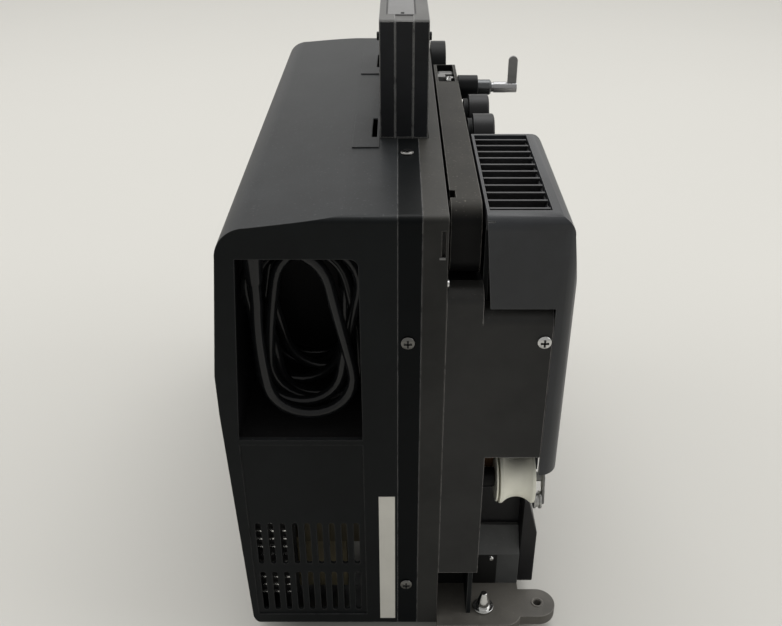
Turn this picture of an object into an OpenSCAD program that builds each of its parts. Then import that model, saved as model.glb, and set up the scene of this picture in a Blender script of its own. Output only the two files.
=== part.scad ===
// Compact 16 mm sound film projector, closed for carrying, handle raised.
// X points to the film side, Y to the screen, Z up. The pieces are drawn from a
// datum point where the cover seam, the rear plane and the body top meet.

/* [Body] */
// Length of the body from rear to front
body_l = 380; // [360:1:420]
// Height of the body above its feet
body_h = 304; // [300:1:320]
// Wall of the cover, the band and the frame rim
wall = 3; // [2.6:0.1:3.4]
// Radius of the front top edge
front_r = 20; // [12:1:26]
// Radius of the other edges seen from the side
edge_r = 4; // [3:0.5:6]
// Width of the smooth band beside the seam
band_w = 13; // [12:0.5:15]
// Width of the painted main frame
frame_w = 13.5; // [13:0.5:15]
// Thickness of the web of the main frame
web_t = 4; // [3:0.5:5]
// Height of the rubber feet
foot_h = 10; // [7:1:16]
// Radius of the rubber feet
foot_r = 12; // [9:0.5:14]

/* [Left cover] */
// Widest reach of the cover left of the seam
cover_w = 103; // [102:0.5:108]
// Width of the flat part of the cover's top
cover_flat = 28; // [28:1:34]
// Fall of the sloped part of the cover's top
cover_slope = 6; // [4:0.5:8]
// Radius of the cover's top left edge
cover_corner_r = 18; // [14:1:20]
// Reach of the cover at its bottom
cover_foot_w = 97.4; // [96:0.2:99]
// Radius of the cover's bottom left edge
cover_foot_r = 10; // [6:1:14]
// Vent slots in a row
vent_count = 9; // [5:1:9]
// Spacing of the vent slots
vent_pitch = 7.75; // [7:0.05:7.9]
// Width of a vent slot
vent_w = 3.6; // [2.5:0.1:4.4]
// Height of a vent slot
vent_h = 36; // [26:1:37]

/* [Cord compartment] */
// Height of the cord opening
opening_h = 120; // [110:1:122]
// Depth of the compartment
bay_d = 105; // [105:1:112]
// Diameter of the mains lead
cord_d = 7; // [6.4:0.1:7.2]
// Loops of the stowed lead
cord_loops = 7; // [5:1:7]

/* [Handle] */
// Width of the handle across its cheeks
handle_w = 29.6; // [28:0.2:30]
// Length of the handle
handle_l = 190; // [180:1:196]
// Width of one handle leg
leg_l = 35; // [30:1:38]
// Height of the raised handle above the body
handle_rise = 71; // [68:1:80]
// Thickness of the grip bar
grip_t = 16; // [12:0.5:18]
// Running clearance round the handle legs
handle_gap = 0.4; // [0.3:0.05:0.5]

/* [Reel arms] */
// Thickness of the rear reel arm
rear_arm_t = 16.5; // [15.5:0.5:16.5]
// Length of the rear reel arm
rear_arm_l = 270; // [262:1:280]
// Height of the rear reel arm
rear_arm_h = 42; // [40:0.5:43]
// Thickness of the front reel arm
front_arm_t = 12; // [10:0.5:14]
// Distance from the front pivot to the front spindle
front_arm_reach = 190; // [170:1:200]
// Radius of the front arm's hub
front_hub_r = 22; // [20:0.5:24]
// Radius of the arm pivots
pivot_r = 6; // [5:0.5:7]
// Radius of the reel spindles
spindle_r = 4; // [3.5:0.1:4.5]
// Length of the bare spindle past its hub
spindle_l = 17; // [15:0.5:20]
// Length of the reel lock tab
tab_l = 23; // [18:0.5:24]

/* [Film side] */
// Film centre line right of the seam
film_x = 75; // [74:0.5:76]
// Drop of the lens axis below the body top
lens_drop = 100; // [96:1:104]
// Length of the lamphouse cover
lamphouse_l = 130; // [126:1:133]
// Reach of the lamphouse cover at its side
lamphouse_x = 97; // [96.5:0.5:100]
// Depth of the side of the lamphouse cover
lamphouse_h = 171; // [165:1:174]
// Number of louvre slats
louvre_count = 11; // [7:1:12]
// Radius of the lens barrel
lens_r = 19; // [16:0.5:19.5]
// Length of the lens barrel
lens_l = 120; // [110:1:125]
// Radius of the white guide roller at its flanges
roller_r = 16.5; // [15:0.5:17]
// Radius of the sprockets
sprocket_r = 12; // [10:0.5:13]
// Radius of the two control knobs
knob_r = 14; // [12:0.5:15]

/* [Base] */
// Thickness of the base plate
base_t = 8; // [6:0.5:9]
// Reach of the base plate right of the seam
base_x = 84; // [83:0.5:88]
// Rear overhang of the base plate
base_over = 7.5; // [4:0.5:10]
// Radius of the side lug
lug_r = 12; // [10:0.5:13]
// Reach of the lug's centre right of the seam
lug_x = 96; // [95:0.5:100]
// Radius of the hole in the lug
lug_hole_r = 2.5; // [2:0.25:3]

/* [Hidden] */
$fn = 48;
fit = 0.05;
gap = 0.3;
// Overall reach and the datum point
seam_x = (cover_w - lug_x - lug_r) / 2;
rear_y = (base_over - body_l) / 2;
top_z = body_h + foot_h;
frame_in = band_w + frame_w - web_t;
frame_x = band_w + frame_w;
floor_z = -body_h;
base_z = base_t - body_h;

// Left cover outline
cover_corner_x = cover_w - 25.5;
waist_top = 98;
waist_low = 125;

// Cord opening, liner and vents in the rear of the cover
opening_top = 24;
opening_right = 20.5;
opening_left_top = cover_w - 18;
opening_left_low = cover_w - 9.6;
opening_r = 5;
vent_right = 26;
vent_base = 14;
vent_row_gap = 7.2;
panel_recess = 0.8;
bay_wall = 1.5;
bay_top = 20;
bay_low = 152;
bay_right = 12;
bay_left_top = cover_w - 15;
bay_left_low = cover_w - 7;

// Screws
screw_r = 2;
screw_head_r = 4;
screw_head_h = 2;
screw_l = 9;
rear_screw_x = 5.7;
top_screw_y = 90;
rear_screw_drops = [75.5, 264.5];
panel_screw_x = 80.7;
panel_screw_drop = 75;

// Handle
handle_x = -10.8;
handle_y = 116;
handle_in = handle_x + handle_w;
cheek_t = 9.4;
core_inset = 0.6;
handle_r = 3;
handle_inner_r = 8;
foot_flange = 3;
flange_h = 5;
pin_r = 2.5;
pin_out = 1.5;
pin_drop = 11;
pin_in = 8;
inlay_w = 16;
inlay_in = 5;
inlay_end = 14;
inlay_t = 1.2;
inlay_proud = 0.2;
plate_t = 0.8;
plate_w = 16.4;
plate_end = 17.5;
slot_w = 3;
slot_in = 1.5;

// Rear arm
rear_arm_x = frame_x + 1.5;
rear_arm_in = rear_arm_x + rear_arm_t;
rear_arm_y = 12;
rear_arm_r = 12;
arm_tip_r = 6;
pivot_in = 21;
well_l = 44;
well_d = 16;
well_wall = 2.2;
notch_w = 3;
notch_l = 10;
notch_in = 13;
notch_d = 6;
spindle_in = 40.5;
spindle_drop = 6;
bearing_r = 8.75;
bearing_l = 14.5;
journal_r = spindle_r - 1;
hub_r = spindle_r + 1.6;
hub_l = 12;
hub_edge = 1;
relief_l = 2;
relief_r = spindle_r - 0.5;
seat_l = 9;
tip_r = spindle_r - 0.2;
tab_w = 6.6;
tab_t = 2;
tab_in = 3.5;
tab_pin_r = 0.8;

// Front arm
front_arm_x = frame_x + 1;
front_arm_in = front_arm_x + front_arm_t;
front_pivot_y = 335;
front_pivot_z = -18;
front_tip_r = 16;
front_side_in = 2;
front_tip_in = 1;
pivot_flange = 3;
pivot_flange_t = 2;

// Mechanism plate and the rear panel of the film side
film_plate_x = 46.5;
film_plate_t = 3;
film_face = film_plate_x + film_plate_t;
film_plate_end = 298;
film_plate_top = 25;
film_pan_top = 47;
panel_x = 85;
panel_top = 57;
panel_rise_x = 46.5;
panel_rise_top = 44;
panel_low = 254;
panel_r = 8;
recess_x = 52;
recess_top = 157;

// Lamphouse
lamphouse_in = 46;
lamphouse_top_x = 80;
lamphouse_top_r = 12;
lamphouse_edge_r = 8;
lamphouse_shoulder = 46;
lamphouse_rear_low = 54;
lamphouse_rear_in = 50;
louvre_in = 47.5;
louvre_end = 9;
louvre_t = 1.5;
louvre_lean = 32;
louvre_deep = 11;
louvre_low = 0.6;
louvre_start = 0.3;
louvre_rail = 1;
louvre_set = 0.2;
lens_z = -lens_drop;
lamp_y = 58;
lamp_r = 11;
lamp_h = 44;
socket_drop = 26;
socket_h = 16;
socket_lip = 6;
socket_wall = 3;
reflector_r = 17.5;
condenser_y = 100;
condenser_r = 14;
condenser_bow = 40;

// Gate, shutter and lens
shutter_y = lamphouse_l + 6;
shutter_r = 20;
shutter_drop = 13;
shutter_t = 3.4;
gate_y = shutter_y + 5;
gate_t = 14;
gate_reach = 20;
gate_h = 72;
aperture_t = 2.5;
aperture_w = 9.6;
aperture_h = 7.2;
film_gap = 0.6;
pressure_t = 3;
lens_y = 172;
holder_y = 186;
holder_l = 52;
holder_wall = 4;
focus_r = 11;
focus_l = 12;
lens_glass_t = 6;
lens_glass_in = 8;
lens_ring_l = 32;
lens_ring_in = 6;
focus_grips = 16;
focus_grip_r = 0.8;
holder_flat = 5;
holder_ear_l = 24;
holder_ear_low = 8;
guide_pin_edge = 3.5;
pressure_edge = 3;

// Film path
sprocket_w = 17;
sprocket_rim = 3;
sprocket_step = 1.5;
tooth_count = 12;
tooth_h = 1.4;
tooth_t = 1.4;
shaft_r = 3;
upper_sprocket_y = 262;
upper_sprocket_drop = 64;
lower_sprocket_y = 178;
lower_sprocket_drop = 164;
drum_y = 96;
drum_drop = 205;
drum_r = 14;
flywheel_r = 30;
roller_y = 22;
roller_drop = 191;
roller_w = 22;
roller_waist = 4;
roller_lip_t = 1.2;
roller_lip_gap = 1;
keeper_r = 5.5;
keeper_l = 5;
keeper_fall = 14;
pulley_r = 10;
pulley_w = 9;
pulley_lip = 2;
knob_l = 14;
knob_y = [161, 203];
knob_drop = 14;
knob_edge = 1;

// Sill below the film recess and the sound head cover
sill_y = 29.5;
sill_face_h = 28;
sill_slope_h = 14;
sill_slope_d = 14;
sill_screw_x = 64.7;
sill_screw_up = 25;
sill_screw_r = 1.9;
sound_x = 95;
sound_top_x = 88;
sound_top = 222;
sound_shoulder = 250;
sound_end = 150;

// Motor, transformer and amplifier
motor_r = 36;
motor_l = 74;
motor_y = 232;
motor_drop = 214;
fan_r = 33;
fan_l = 16;
fan_blades = 12;
fan_blade_t = 1.6;
fan_hub_r = 8;
fan_disc_t = 2;
motor_end_l = 12;
motor_boss_l = 8;
motor_end_in = 4;
motor_boss_in = 10;
tray_t = 2;
tray_edge = 1;
core_w = 58;
core_d = 50;
core_h = 66;
core_y = 30;
coil_bulge = 9;
board_left = -62;
board_y = 14;
board_t = 1.6;
board_low = -240;
board_top = -190;
board_leg_w = 20;
can_r = 5;
can_l = 22;
can_pitch = 18;
can_z = -205;
can_count = 4;

// Route of the lead: stacked upright loops from the gland to the plug
cord_r = cord_d / 2;
cord_bend = 25;
cord_run = 56;
cord_x = -cover_w / 2 - 1.5;
cord_z = -86;
cord_y = 14;
cord_pitch = 9.4;
cord_sway = -4;
cord_bob = 4;
cord_tilt = 12;
cord_end_shift = 9;
rings_per_loop = 24;
gland_l = 24;
gland_r = 6.5;
plug_r = 11;
plug_l = 30;
blade_l = 14;
blade_t = 1.5;
blade_w = 6;
plug_neck = 1.5;

// Everything is drawn from the datum point
module datum() { translate([seam_x, rear_y, top_z]) children(); }

// Outlines drawn in YZ and pushed along X, or drawn in XZ and pushed along Y
module along_x(x0, x1) { translate([x0, 0, 0]) rotate([90, 0, 90]) linear_extrude(x1 - x0) children(); }
module along_y(y0, y1) { translate([0, y1, 0]) rotate([90, 0, 0]) linear_extrude(y1 - y0) children(); }

module rod_x(x0, x1, y, z, r) { translate([x0, y, z]) rotate([0, 90, 0]) cylinder(h = x1 - x0, r = r); }
module rod_y(y0, y1, x, z, r) { translate([x, y1, z]) rotate([90, 0, 0]) cylinder(h = y1 - y0, r = r); }
module rod_z(z0, z1, x, y, r) { translate([x, y, z0]) cylinder(h = z1 - z0, r = r); }
module block(x0, x1, y0, y1, z0, z1) { translate([x0, y0, z0]) cube([x1 - x0, y1 - y0, z1 - z0]); }

// Trims a square corner to a radius, turned by quarter turns
module corner_cut(at, r, turn) {
    translate(at) rotate(90 * turn) difference() {
        translate([-1, -1]) square(r + 1);
        translate([r, r]) circle(r);
    }
}

module round_rect(u0, u1, v0, v1, r) {
    difference() {
        translate([u0, v0]) square([u1 - u0, v1 - v0]);
        corner_cut([u0, v0], r, 0);
        corner_cut([u1, v0], r, 1);
        corner_cut([u1, v1], r, 2);
        corner_cut([u0, v1], r, 3);
    }
}

// Outline of the body seen from the side
module side_outline(inset) {
    small = max(edge_r - inset, 0.5);
    difference() {
        translate([inset, floor_z + inset]) square([body_l - 2 * inset, body_h - 2 * inset]);
        corner_cut([inset, floor_z + inset], small, 0);
        corner_cut([body_l - inset, floor_z + inset], small, 1);
        corner_cut([body_l - inset, -inset], front_r - inset, 2);
        corner_cut([inset, -inset], small, 3);
    }
}

// Outline of the left cover seen from the rear, reaching the given x at the seam
module cover_profile(inset, seam) {
    corner_z = cover_slope + cover_corner_r;
    foot_z = floor_z + cover_foot_r;
    polygon([[seam, -inset], [-cover_flat, -inset], [-cover_corner_x, -cover_slope - inset],
        [inset - cover_corner_x - cover_corner_r, -corner_z], [inset - cover_w, -waist_top],
        [inset - cover_w, -waist_low], [inset - cover_foot_w, foot_z],
        [cover_foot_r - cover_foot_w, floor_z + inset], [seam, floor_z + inset]]);
    translate([-cover_corner_x, -corner_z]) circle(cover_corner_r - inset);
    translate([cover_foot_r - cover_foot_w, foot_z]) circle(cover_foot_r - inset);
}

module cover_block(inset, seam) {
    intersection() {
        along_y(inset, body_l - inset) cover_profile(inset, seam);
        along_x(-cover_w - 1, seam + 1) side_outline(inset);
    }
}

// Openings for the two handle legs in the top of the body
module leg_openings(x0, x1) {
    for (y = [handle_y, handle_y + handle_l - leg_l])
        block(x0, x1, y - handle_gap, y + leg_l + handle_gap, -2 * wall, 1);
}

module cord_opening() {
    low = opening_top + opening_h;
    intersection() {
        along_y(-1, wall + 1) polygon([[-opening_right, -opening_top], [-opening_left_top, -opening_top],
            [-opening_left_low, -low], [-opening_right, -low]]);
        along_y(-1, wall + 1)
            round_rect(-cover_w, -opening_right, -low - opening_r, -opening_top, opening_r);
    }
}

module vent_slots() {
    for (row = [0, 1], i = [0 : vent_count - 1]) {
        x = -vent_right - i * vent_pitch;
        z = floor_z + vent_base + row * (vent_h + vent_row_gap) + vent_w / 2;
        along_y(-1, wall + 1) translate([x, z]) {
            translate([-vent_w / 2, 0]) square([vent_w, vent_h - vent_w]);
            circle(vent_w / 2);
            translate([0, vent_h - vent_w]) circle(vent_w / 2);
        }
    }
}

module guide_slots(deep) {
    for (y = [handle_y, handle_y + handle_l - leg_l])
        block(handle_x - gap - slot_in - slot_w, handle_x - gap - slot_in, y, y + leg_l, -deep, plate_t + 1);
}

module left_cover() {
    recess_right = -opening_right;
    recess_low = floor_z + vent_base - vent_w;
    recess_top = -opening_top - opening_h - vent_w;
    color("#17181a") datum() difference() {
        cover_block(0, 0);
        cover_block(wall, 1);
        cord_opening();
        vent_slots();
        block(-opening_left_low, recess_right, -1, panel_recess, recess_low, recess_top);
        leg_openings(handle_x - gap, 1);
        guide_slots(wall + 1);
    }
}

module body_ring(x0, x1) {
    along_x(x0, x1) difference() {
        side_outline(0);
        side_outline(wall);
    }
}

module screw_holes() {
    for (drop = rear_screw_drops) rod_y(-1, wall + 1, rear_screw_x, -drop, screw_r + fit);
    rod_z(-wall - 1, 1, rear_screw_x, top_screw_y, screw_r + fit);
}

module cover_band() {
    color("#131416") datum() difference() {
        body_ring(0, band_w);
        screw_holes();
        leg_openings(-1, band_w + 1);
    }
}

// Shafts that cross the web: motor, sprockets, drum and the two arm pivots
web_holes = [[motor_y, -motor_drop, shaft_r], [upper_sprocket_y, -upper_sprocket_drop, shaft_r],
    [lower_sprocket_y, -lower_sprocket_drop, shaft_r], [drum_y, -drum_drop, shaft_r],
    [rear_arm_y + pivot_in, -rear_arm_h / 2, pivot_r], [front_pivot_y, front_pivot_z, pivot_r]];

// Latch slot in the rear edge of the frame
latch_x = 23;
latch_w = 2;
latch_d = 2.5;
latch_z = -8;
latch_h = 16;

module main_frame() {
    color("#3b3a38") datum() difference() {
        union() {
            body_ring(band_w, frame_x);
            along_x(frame_in, frame_x) side_outline(0);
        }
        for (h = web_holes) rod_x(frame_in - 1, frame_x + 1, h[0], h[1], h[2] + fit);
        leg_openings(band_w - 1, handle_in + handle_gap);
        block(latch_x, latch_x + latch_w, -1, latch_d, latch_z - latch_h, latch_z);
    }
}

// Pan head screw along -Y, head resting on the plane y = 0
module screw() {
    rod_y(0, screw_l, 0, 0, screw_r);
    rotate([90, 0, 0]) intersection() {
        cylinder(h = screw_head_h, r = screw_head_r);
        translate([0, 0, screw_head_h - 2 * screw_head_r]) sphere(2 * screw_head_r);
    }
}

module case_screws() {
    color("silver") datum() {
        for (drop = rear_screw_drops) translate([rear_screw_x, 0, -drop]) screw();
        translate([rear_screw_x, top_screw_y, 0]) rotate([-90, 0, 0]) screw();
        translate([panel_screw_x, 0, -panel_screw_drop]) screw();
    }
}

module guide_plates() {
    right = handle_x - gap;
    color("#1d1e20") datum() difference() {
        for (y = [handle_y, handle_y + handle_l - leg_l])
            block(right - plate_w, right, y - plate_end, y + leg_l + plate_end / 2, 0, plate_t);
        guide_slots(1);
    }
}

// Liner of the cord compartment, open to the rear
module bay_outline(inset) {
    polygon([[inset - bay_left_top, -bay_top - inset], [-bay_right - inset, -bay_top - inset],
        [-bay_right - inset, inset - bay_low], [inset - bay_left_low, inset - bay_low],
        [inset - bay_left_low, -waist_top]]);
}

module cord_box() {
    color("#0e0f10") datum() difference() {
        along_y(wall, wall + bay_d) bay_outline(0);
        along_y(wall - 1, wall + bay_d - bay_wall) bay_outline(bay_wall);
    }
}

cord_start_x = cord_x - cord_bend;
gland_top = -bay_top - bay_wall;
cord_lap = 2 * cord_run + 2 * PI * cord_bend;
cord_turns = cord_loops + (cord_run + PI * cord_bend) / cord_lap;

module cord_gland() {
    color("#101112") datum() translate([cord_start_x, cord_y, gland_top - gland_l])
        cylinder(h = gland_l, r1 = cord_r + 1, r2 = gland_r);
}

// One lap of upright loop with straight sides, by distance along it
function lap_point(d) =
    d < cord_run ? [-cord_bend, cord_run / 2 - d] :
    d < cord_run + PI * cord_bend ? lap_arc(d - cord_run, -1) :
    d < 2 * cord_run + PI * cord_bend ? [cord_bend, d - cord_run * 3 / 2 - PI * cord_bend] :
    -lap_arc(d - 2 * cord_run - PI * cord_bend, -1);
function lap_arc(d, side) =
    let (a = d / cord_bend * 180 / PI)
    [side * cord_bend * cos(a), side * (cord_run / 2 + cord_bend * sin(a))];
function ease(t) = t < 0 ? 0 : t > 1 ? 1 : t * t * (3 - 2 * t);
function cord_at(n) = let (p = lap_point((n - floor(n)) * cord_lap), a = cord_tilt * sin(150 * n))
    [cord_x + p[0] * cos(a) - p[1] * sin(a) + cord_sway * sin(112 * n),
        cord_y + cord_pitch * n + cord_end_shift * ease(n - cord_turns + 1),
        cord_z + p[0] * sin(a) + p[1] * cos(a) + cord_bob * sin(83 * n)];
cord_last = cord_at(cord_turns);
cord_path = concat([[cord_start_x, cord_y, gland_top - gland_l],
        [cord_start_x, cord_y, gland_top - gland_l - cord_d]],
    [for (i = [0 : floor(cord_turns * rings_per_loop)]) cord_at(i / rings_per_loop)],
    [cord_last, cord_last + [0, 0, cord_d], cord_last + [0, 0, 2 * cord_d]]);
cord_count = len(cord_path);
cord_length = gland_l + plug_l + [for (i = 1, s = 0; i < cord_count;
    s = s + norm(cord_path[i] - cord_path[i - 1]), i = i + 1) s][cord_count - 2];
cord_gap = min([for (i = [0 : cord_count - 8], j = [i + 7 : cord_count - 1])
    norm(cord_path[i] - cord_path[j])]) - cord_d;
echo(cord_length = cord_length, least_gap = cord_gap);

// Round tube of six sides swept along points
module tube(path, r, sides) {
    last = len(path) - 1;
    dirs = [for (i = [0 : last]) let (d = path[min(i + 1, last)] - path[max(i - 1, 0)]) d / norm(d)];
    rings = [for (i = [0 : last]) let (u = cross(dirs[i], [0, 1, 0]), n = u / norm(u), b = cross(n, dirs[i]))
        for (k = [0 : sides - 1]) path[i] + r * (cos(360 * k / sides) * n + sin(360 * k / sides) * b)];
    walls = [for (i = [0 : last - 1], k = [0 : sides - 1])
        let (a = i * sides + k, c = i * sides + (k + 1) % sides)
        each [[a, c, a + sides], [c, c + sides, a + sides]]];
    end = last * sides;
    caps = [for (k = [1 : sides - 2]) each [[0, k + 1, k], [end, end + k, end + k + 1]]];
    polyhedron(points = rings, faces = concat(walls, caps));
}

module mains_cord() {
    color("#121314") datum() tube(cord_path, cord_r, 6);
}

module mains_plug() {
    foot = cord_path[cord_count - 1];
    color("#151617") datum() translate(foot) {
        cylinder(h = plug_l / 3, r1 = cord_r + plug_neck, r2 = plug_r);
        translate([0, 0, plug_l / 3]) cylinder(h = plug_l * 2 / 3, r = plug_r);
        for (side = [-1, 1]) translate([side * plug_r / 2, 0, plug_l])
            linear_extrude(blade_l) square([blade_t, blade_w], center = true);
    }
}

// Sheet tray that carries the transformer and the amplifier
tray_x = -84;
tray_top = floor_z + wall + tray_t;

module chassis_tray() {
    color("#8f9296") datum()
        block(tray_x, frame_in, wall + tray_edge, body_l - wall - tray_edge, floor_z + wall, tray_top);
}

core_leg = 10;
coil_reach = core_w / 2 - core_leg;
core_mid = tray_x + 2 + core_w / 2;

module transformer_core() {
    color("#a8aaac") datum() difference() {
        block(core_mid - core_w / 2, core_mid + core_w / 2, core_y, core_y + core_d, tray_top,
            tray_top + core_h);
        for (side = [-1, 1]) {
            x = core_mid + side * (core_leg + coil_reach) / 2;
            w = (coil_reach - core_leg) / 2;
            block(x - w, x + w, core_y - 1, core_y + core_d + 1, tray_top + core_leg,
                tray_top + core_h - core_leg);
        }
    }
}

module transformer_coil() {
    low = tray_top + core_leg + fit;
    high = tray_top + core_h - core_leg - fit;
    color("#7a5a2c") datum() difference() {
        block(core_mid - coil_reach + fit, core_mid + coil_reach - fit, core_y - coil_bulge,
            core_y + core_d + coil_bulge, low, high);
        block(core_mid - core_leg - fit, core_mid + core_leg + fit, core_y - fit, core_y + core_d + fit,
            low - 1, high + 1);
    }
}

module amplifier_board() {
    can_y = board_y + board_t - fit;
    color("#5d5a34") datum() {
        along_y(board_y, board_y + board_t) polygon([[frame_in, tray_top], [frame_in, board_top],
            [board_left, board_top], [board_left, board_low], [frame_in - board_leg_w, board_low],
            [frame_in - board_leg_w, tray_top]]);
        for (i = [1 : can_count])
            rod_y(can_y, can_y + can_l, board_left + can_pitch * (i - 1 / 2), can_z, can_r);
    }
}

module motor_body() {
    back = frame_in - motor_l;
    front = frame_in - motor_boss_l;
    color("#77797c") datum() difference() {
        union() {
            rod_x(back, front, motor_y, -motor_drop, motor_r - motor_end_in);
            rod_x(back + motor_end_l, front - motor_end_l, motor_y, -motor_drop, motor_r);
            rod_x(front, frame_in, motor_y, -motor_drop, motor_r - motor_boss_in);
        }
        rod_x(back - 1, frame_in + 1, motor_y, -motor_drop, shaft_r + fit);
    }
}

pulley_x = frame_x + 4;

module pulley(y, z) {
    rod_x(pulley_x, pulley_x + pulley_w, y, z, pulley_r);
    for (x = [pulley_x - 1, pulley_x + pulley_w]) rod_x(x, x + 1, y, z, pulley_r + pulley_lip);
}

module motor_rotor() {
    fan_x = frame_in - motor_l - gap;
    fan_back = fan_x - fan_l;
    color("#b9bbbd") datum() {
        rod_x(fan_back, pulley_x + pulley_w, motor_y, -motor_drop, shaft_r);
        pulley(motor_y, -motor_drop);
        rod_x(fan_back, fan_back + fan_disc_t, motor_y, -motor_drop, fan_r);
        rod_x(fan_back, fan_x, motor_y, -motor_drop, fan_hub_r);
        for (i = [1 : fan_blades]) translate([fan_back + 1, motor_y, -motor_drop])
            rotate([360 / fan_blades * i, 0, 0]) translate([0, fan_hub_r - 1, -fan_blade_t / 2])
                cube([fan_l - fan_disc_t - 1, fan_r - fan_hub_r, fan_blade_t]);
    }
}

// Base plate of the film side with its side lug
lug_y = 12;

module base_plate() {
    color("#45433f") datum() translate([0, 0, floor_z]) difference() {
        linear_extrude(base_t) {
            difference() {
                translate([frame_x, -base_over])
                    square([base_x - frame_x, body_l - front_r / 2 + base_over]);
                corner_cut([base_x, -base_over], lug_r, 1);
                corner_cut([base_x, body_l - front_r / 2], lug_r, 2);
            }
            translate([base_x - 2 * lug_r, lug_y - lug_r]) square([lug_x - base_x + 2 * lug_r, 2 * lug_r]);
            translate([lug_x, lug_y]) circle(lug_r);
        }
        rod_z(-1, base_t + 1, lug_x, lug_y, lug_hole_r);
    }
}

lid_pin_x = 58.5;
lid_pin_y = [8, 352];

lid_flange_r = 7;
lid_flange_t = 2;
lid_pin_r = 4.5;
lid_pin_tip_r = 2;
lid_pin_neck = 6;
lid_pin_l = 14;

module lid_pins() {
    color("silver") datum() for (y = lid_pin_y) translate([lid_pin_x, y, base_z]) rotate_extrude()
        polygon([[0, 0], [lid_flange_r, 0], [lid_flange_r, lid_flange_t], [lid_pin_r, lid_flange_t],
            [lid_pin_r, lid_pin_neck], [lid_pin_tip_r, lid_pin_l], [0, lid_pin_l]]);
}

foot_x = [-74, 66];
foot_y = [40, 340];

module rubber_feet() {
    color("#0b0b0c") datum() for (x = foot_x, y = foot_y)
        translate([x, y, floor_z - foot_h]) cylinder(h = foot_h, r1 = foot_r - 2, r2 = foot_r);
}

// Mechanism plate: stands on the base plate and closes on the main frame
plate_shafts = [[upper_sprocket_y, -upper_sprocket_drop], [lower_sprocket_y, -lower_sprocket_drop],
    [drum_y, -drum_drop], [knob_y[0], -knob_drop], [knob_y[1], -knob_drop]];
lamp_top = louvre_deep + gap;
condenser_t = 10;
condenser_rim = 3;

module film_plate_outline() {
    translate([wall, base_z]) square([film_plate_end - wall, -film_plate_top - base_z]);
    translate([panel_d + gap, -film_plate_top - 1]) square([lamphouse_l - wall - gap - panel_d - gap,
        film_plate_top + 1 - lamp_top]);
    for (y = knob_y) translate([y, -knob_drop]) circle(knob_r - 3);
    translate([knob_y[0], -film_plate_top - 1]) square([knob_y[1] - knob_y[0], film_plate_top - knob_drop]);
}

module film_plate() {
    color("#2d2d2e") datum() difference() {
        union() {
            along_x(film_plate_x, film_face) film_plate_outline();
            block(frame_x, film_plate_x, panel_d + gap, film_plate_end, -film_pan_top - wall, -film_pan_top);
            block(frame_x, film_plate_x, film_plate_end - wall, film_plate_end, base_z, -film_pan_top);
            block(film_face, film_x + condenser_r + condenser_rim, condenser_y + condenser_rim / 2,
                condenser_y + condenser_t - condenser_rim / 2, lens_z - condenser_r - condenser_rim,
                lens_z + condenser_r + condenser_rim);
        }
        for (s = plate_shafts) rod_x(film_plate_x - 1, film_face + 1, s[0], s[1], shaft_r + fit);
        rod_y(condenser_y - 1, condenser_y + condenser_t + 1, film_x, lens_z, condenser_r + fit);
        block(film_plate_x - 1, film_face + 1, 0, panel_d + gap, -panel_top - panel_r - gap, 1);
    }
}

// Rear panel of the film side, rounded over at its top
panel_d = 14;

module panel_profile(top, inset) {
    difference() {
        translate([inset, -panel_low - inset]) square([panel_d, panel_low - top]);
        corner_cut([inset, -top - inset], panel_r - inset, 3);
    }
}

module rear_panel() {
    color("#33322f") datum() difference() {
        union() {
            along_x(frame_x, panel_x) panel_profile(panel_top, 0);
            along_x(frame_x, panel_rise_x) panel_profile(panel_rise_top, 0);
        }
        along_x(frame_x - 1, panel_x + 1) panel_profile(panel_top, wall);
        along_x(frame_x - 1, panel_rise_x - wall) panel_profile(panel_rise_top, wall);
        block(recess_x, panel_x + 1, -1, panel_d + 1, -panel_low - 1, -recess_top);
        rod_y(-1, wall + 1, panel_screw_x, -panel_screw_drop, screw_r + fit);
    }
}

// Lamphouse cover with an opening for the louvres in its top
module lamphouse_profile(inset) {
    top_right = lamphouse_top_x + lamphouse_top_r;
    difference() {
        polygon([[lamphouse_in, -inset], [top_right - inset, -inset], [top_right - inset, -lamphouse_top_r],
            [lamphouse_x - inset, -lamphouse_shoulder], [lamphouse_x - inset, -lamphouse_h - inset],
            [lamphouse_in, -lamphouse_h - inset]]);
        corner_cut([top_right - inset, -inset], lamphouse_top_r - inset, 2);
    }
}

module lamphouse_plan(inset) {
    difference() {
        translate([lamphouse_in - 1, inset])
            square([lamphouse_x + 1 - lamphouse_in - inset, lamphouse_l - 2 * inset]);
        corner_cut([lamphouse_x - inset, inset], lamphouse_top_r - inset, 1);
        corner_cut([lamphouse_x - inset, lamphouse_l - inset], lamphouse_top_r - inset, 2);
    }
}

module lamphouse_side(inset) {
    difference() {
        translate([inset, -lamphouse_h - 1]) square([lamphouse_l - 2 * inset, lamphouse_h + 1 - inset]);
        corner_cut([lamphouse_l - inset, -inset], lamphouse_edge_r - inset, 2);
        corner_cut([inset, -inset], lamphouse_edge_r - inset, 3);
    }
}

module lamphouse_block(inset) {
    intersection() {
        along_y(0, lamphouse_l) lamphouse_profile(inset);
        along_x(lamphouse_in - 1, lamphouse_x + 1) lamphouse_side(inset);
        translate([0, 0, -lamphouse_h - 1]) linear_extrude(lamphouse_h + 2) lamphouse_plan(inset);
    }
}

louvre_y1 = lamphouse_l - louvre_end;
louvre_pitch = (louvre_y1 - louvre_end) / louvre_count;

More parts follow.
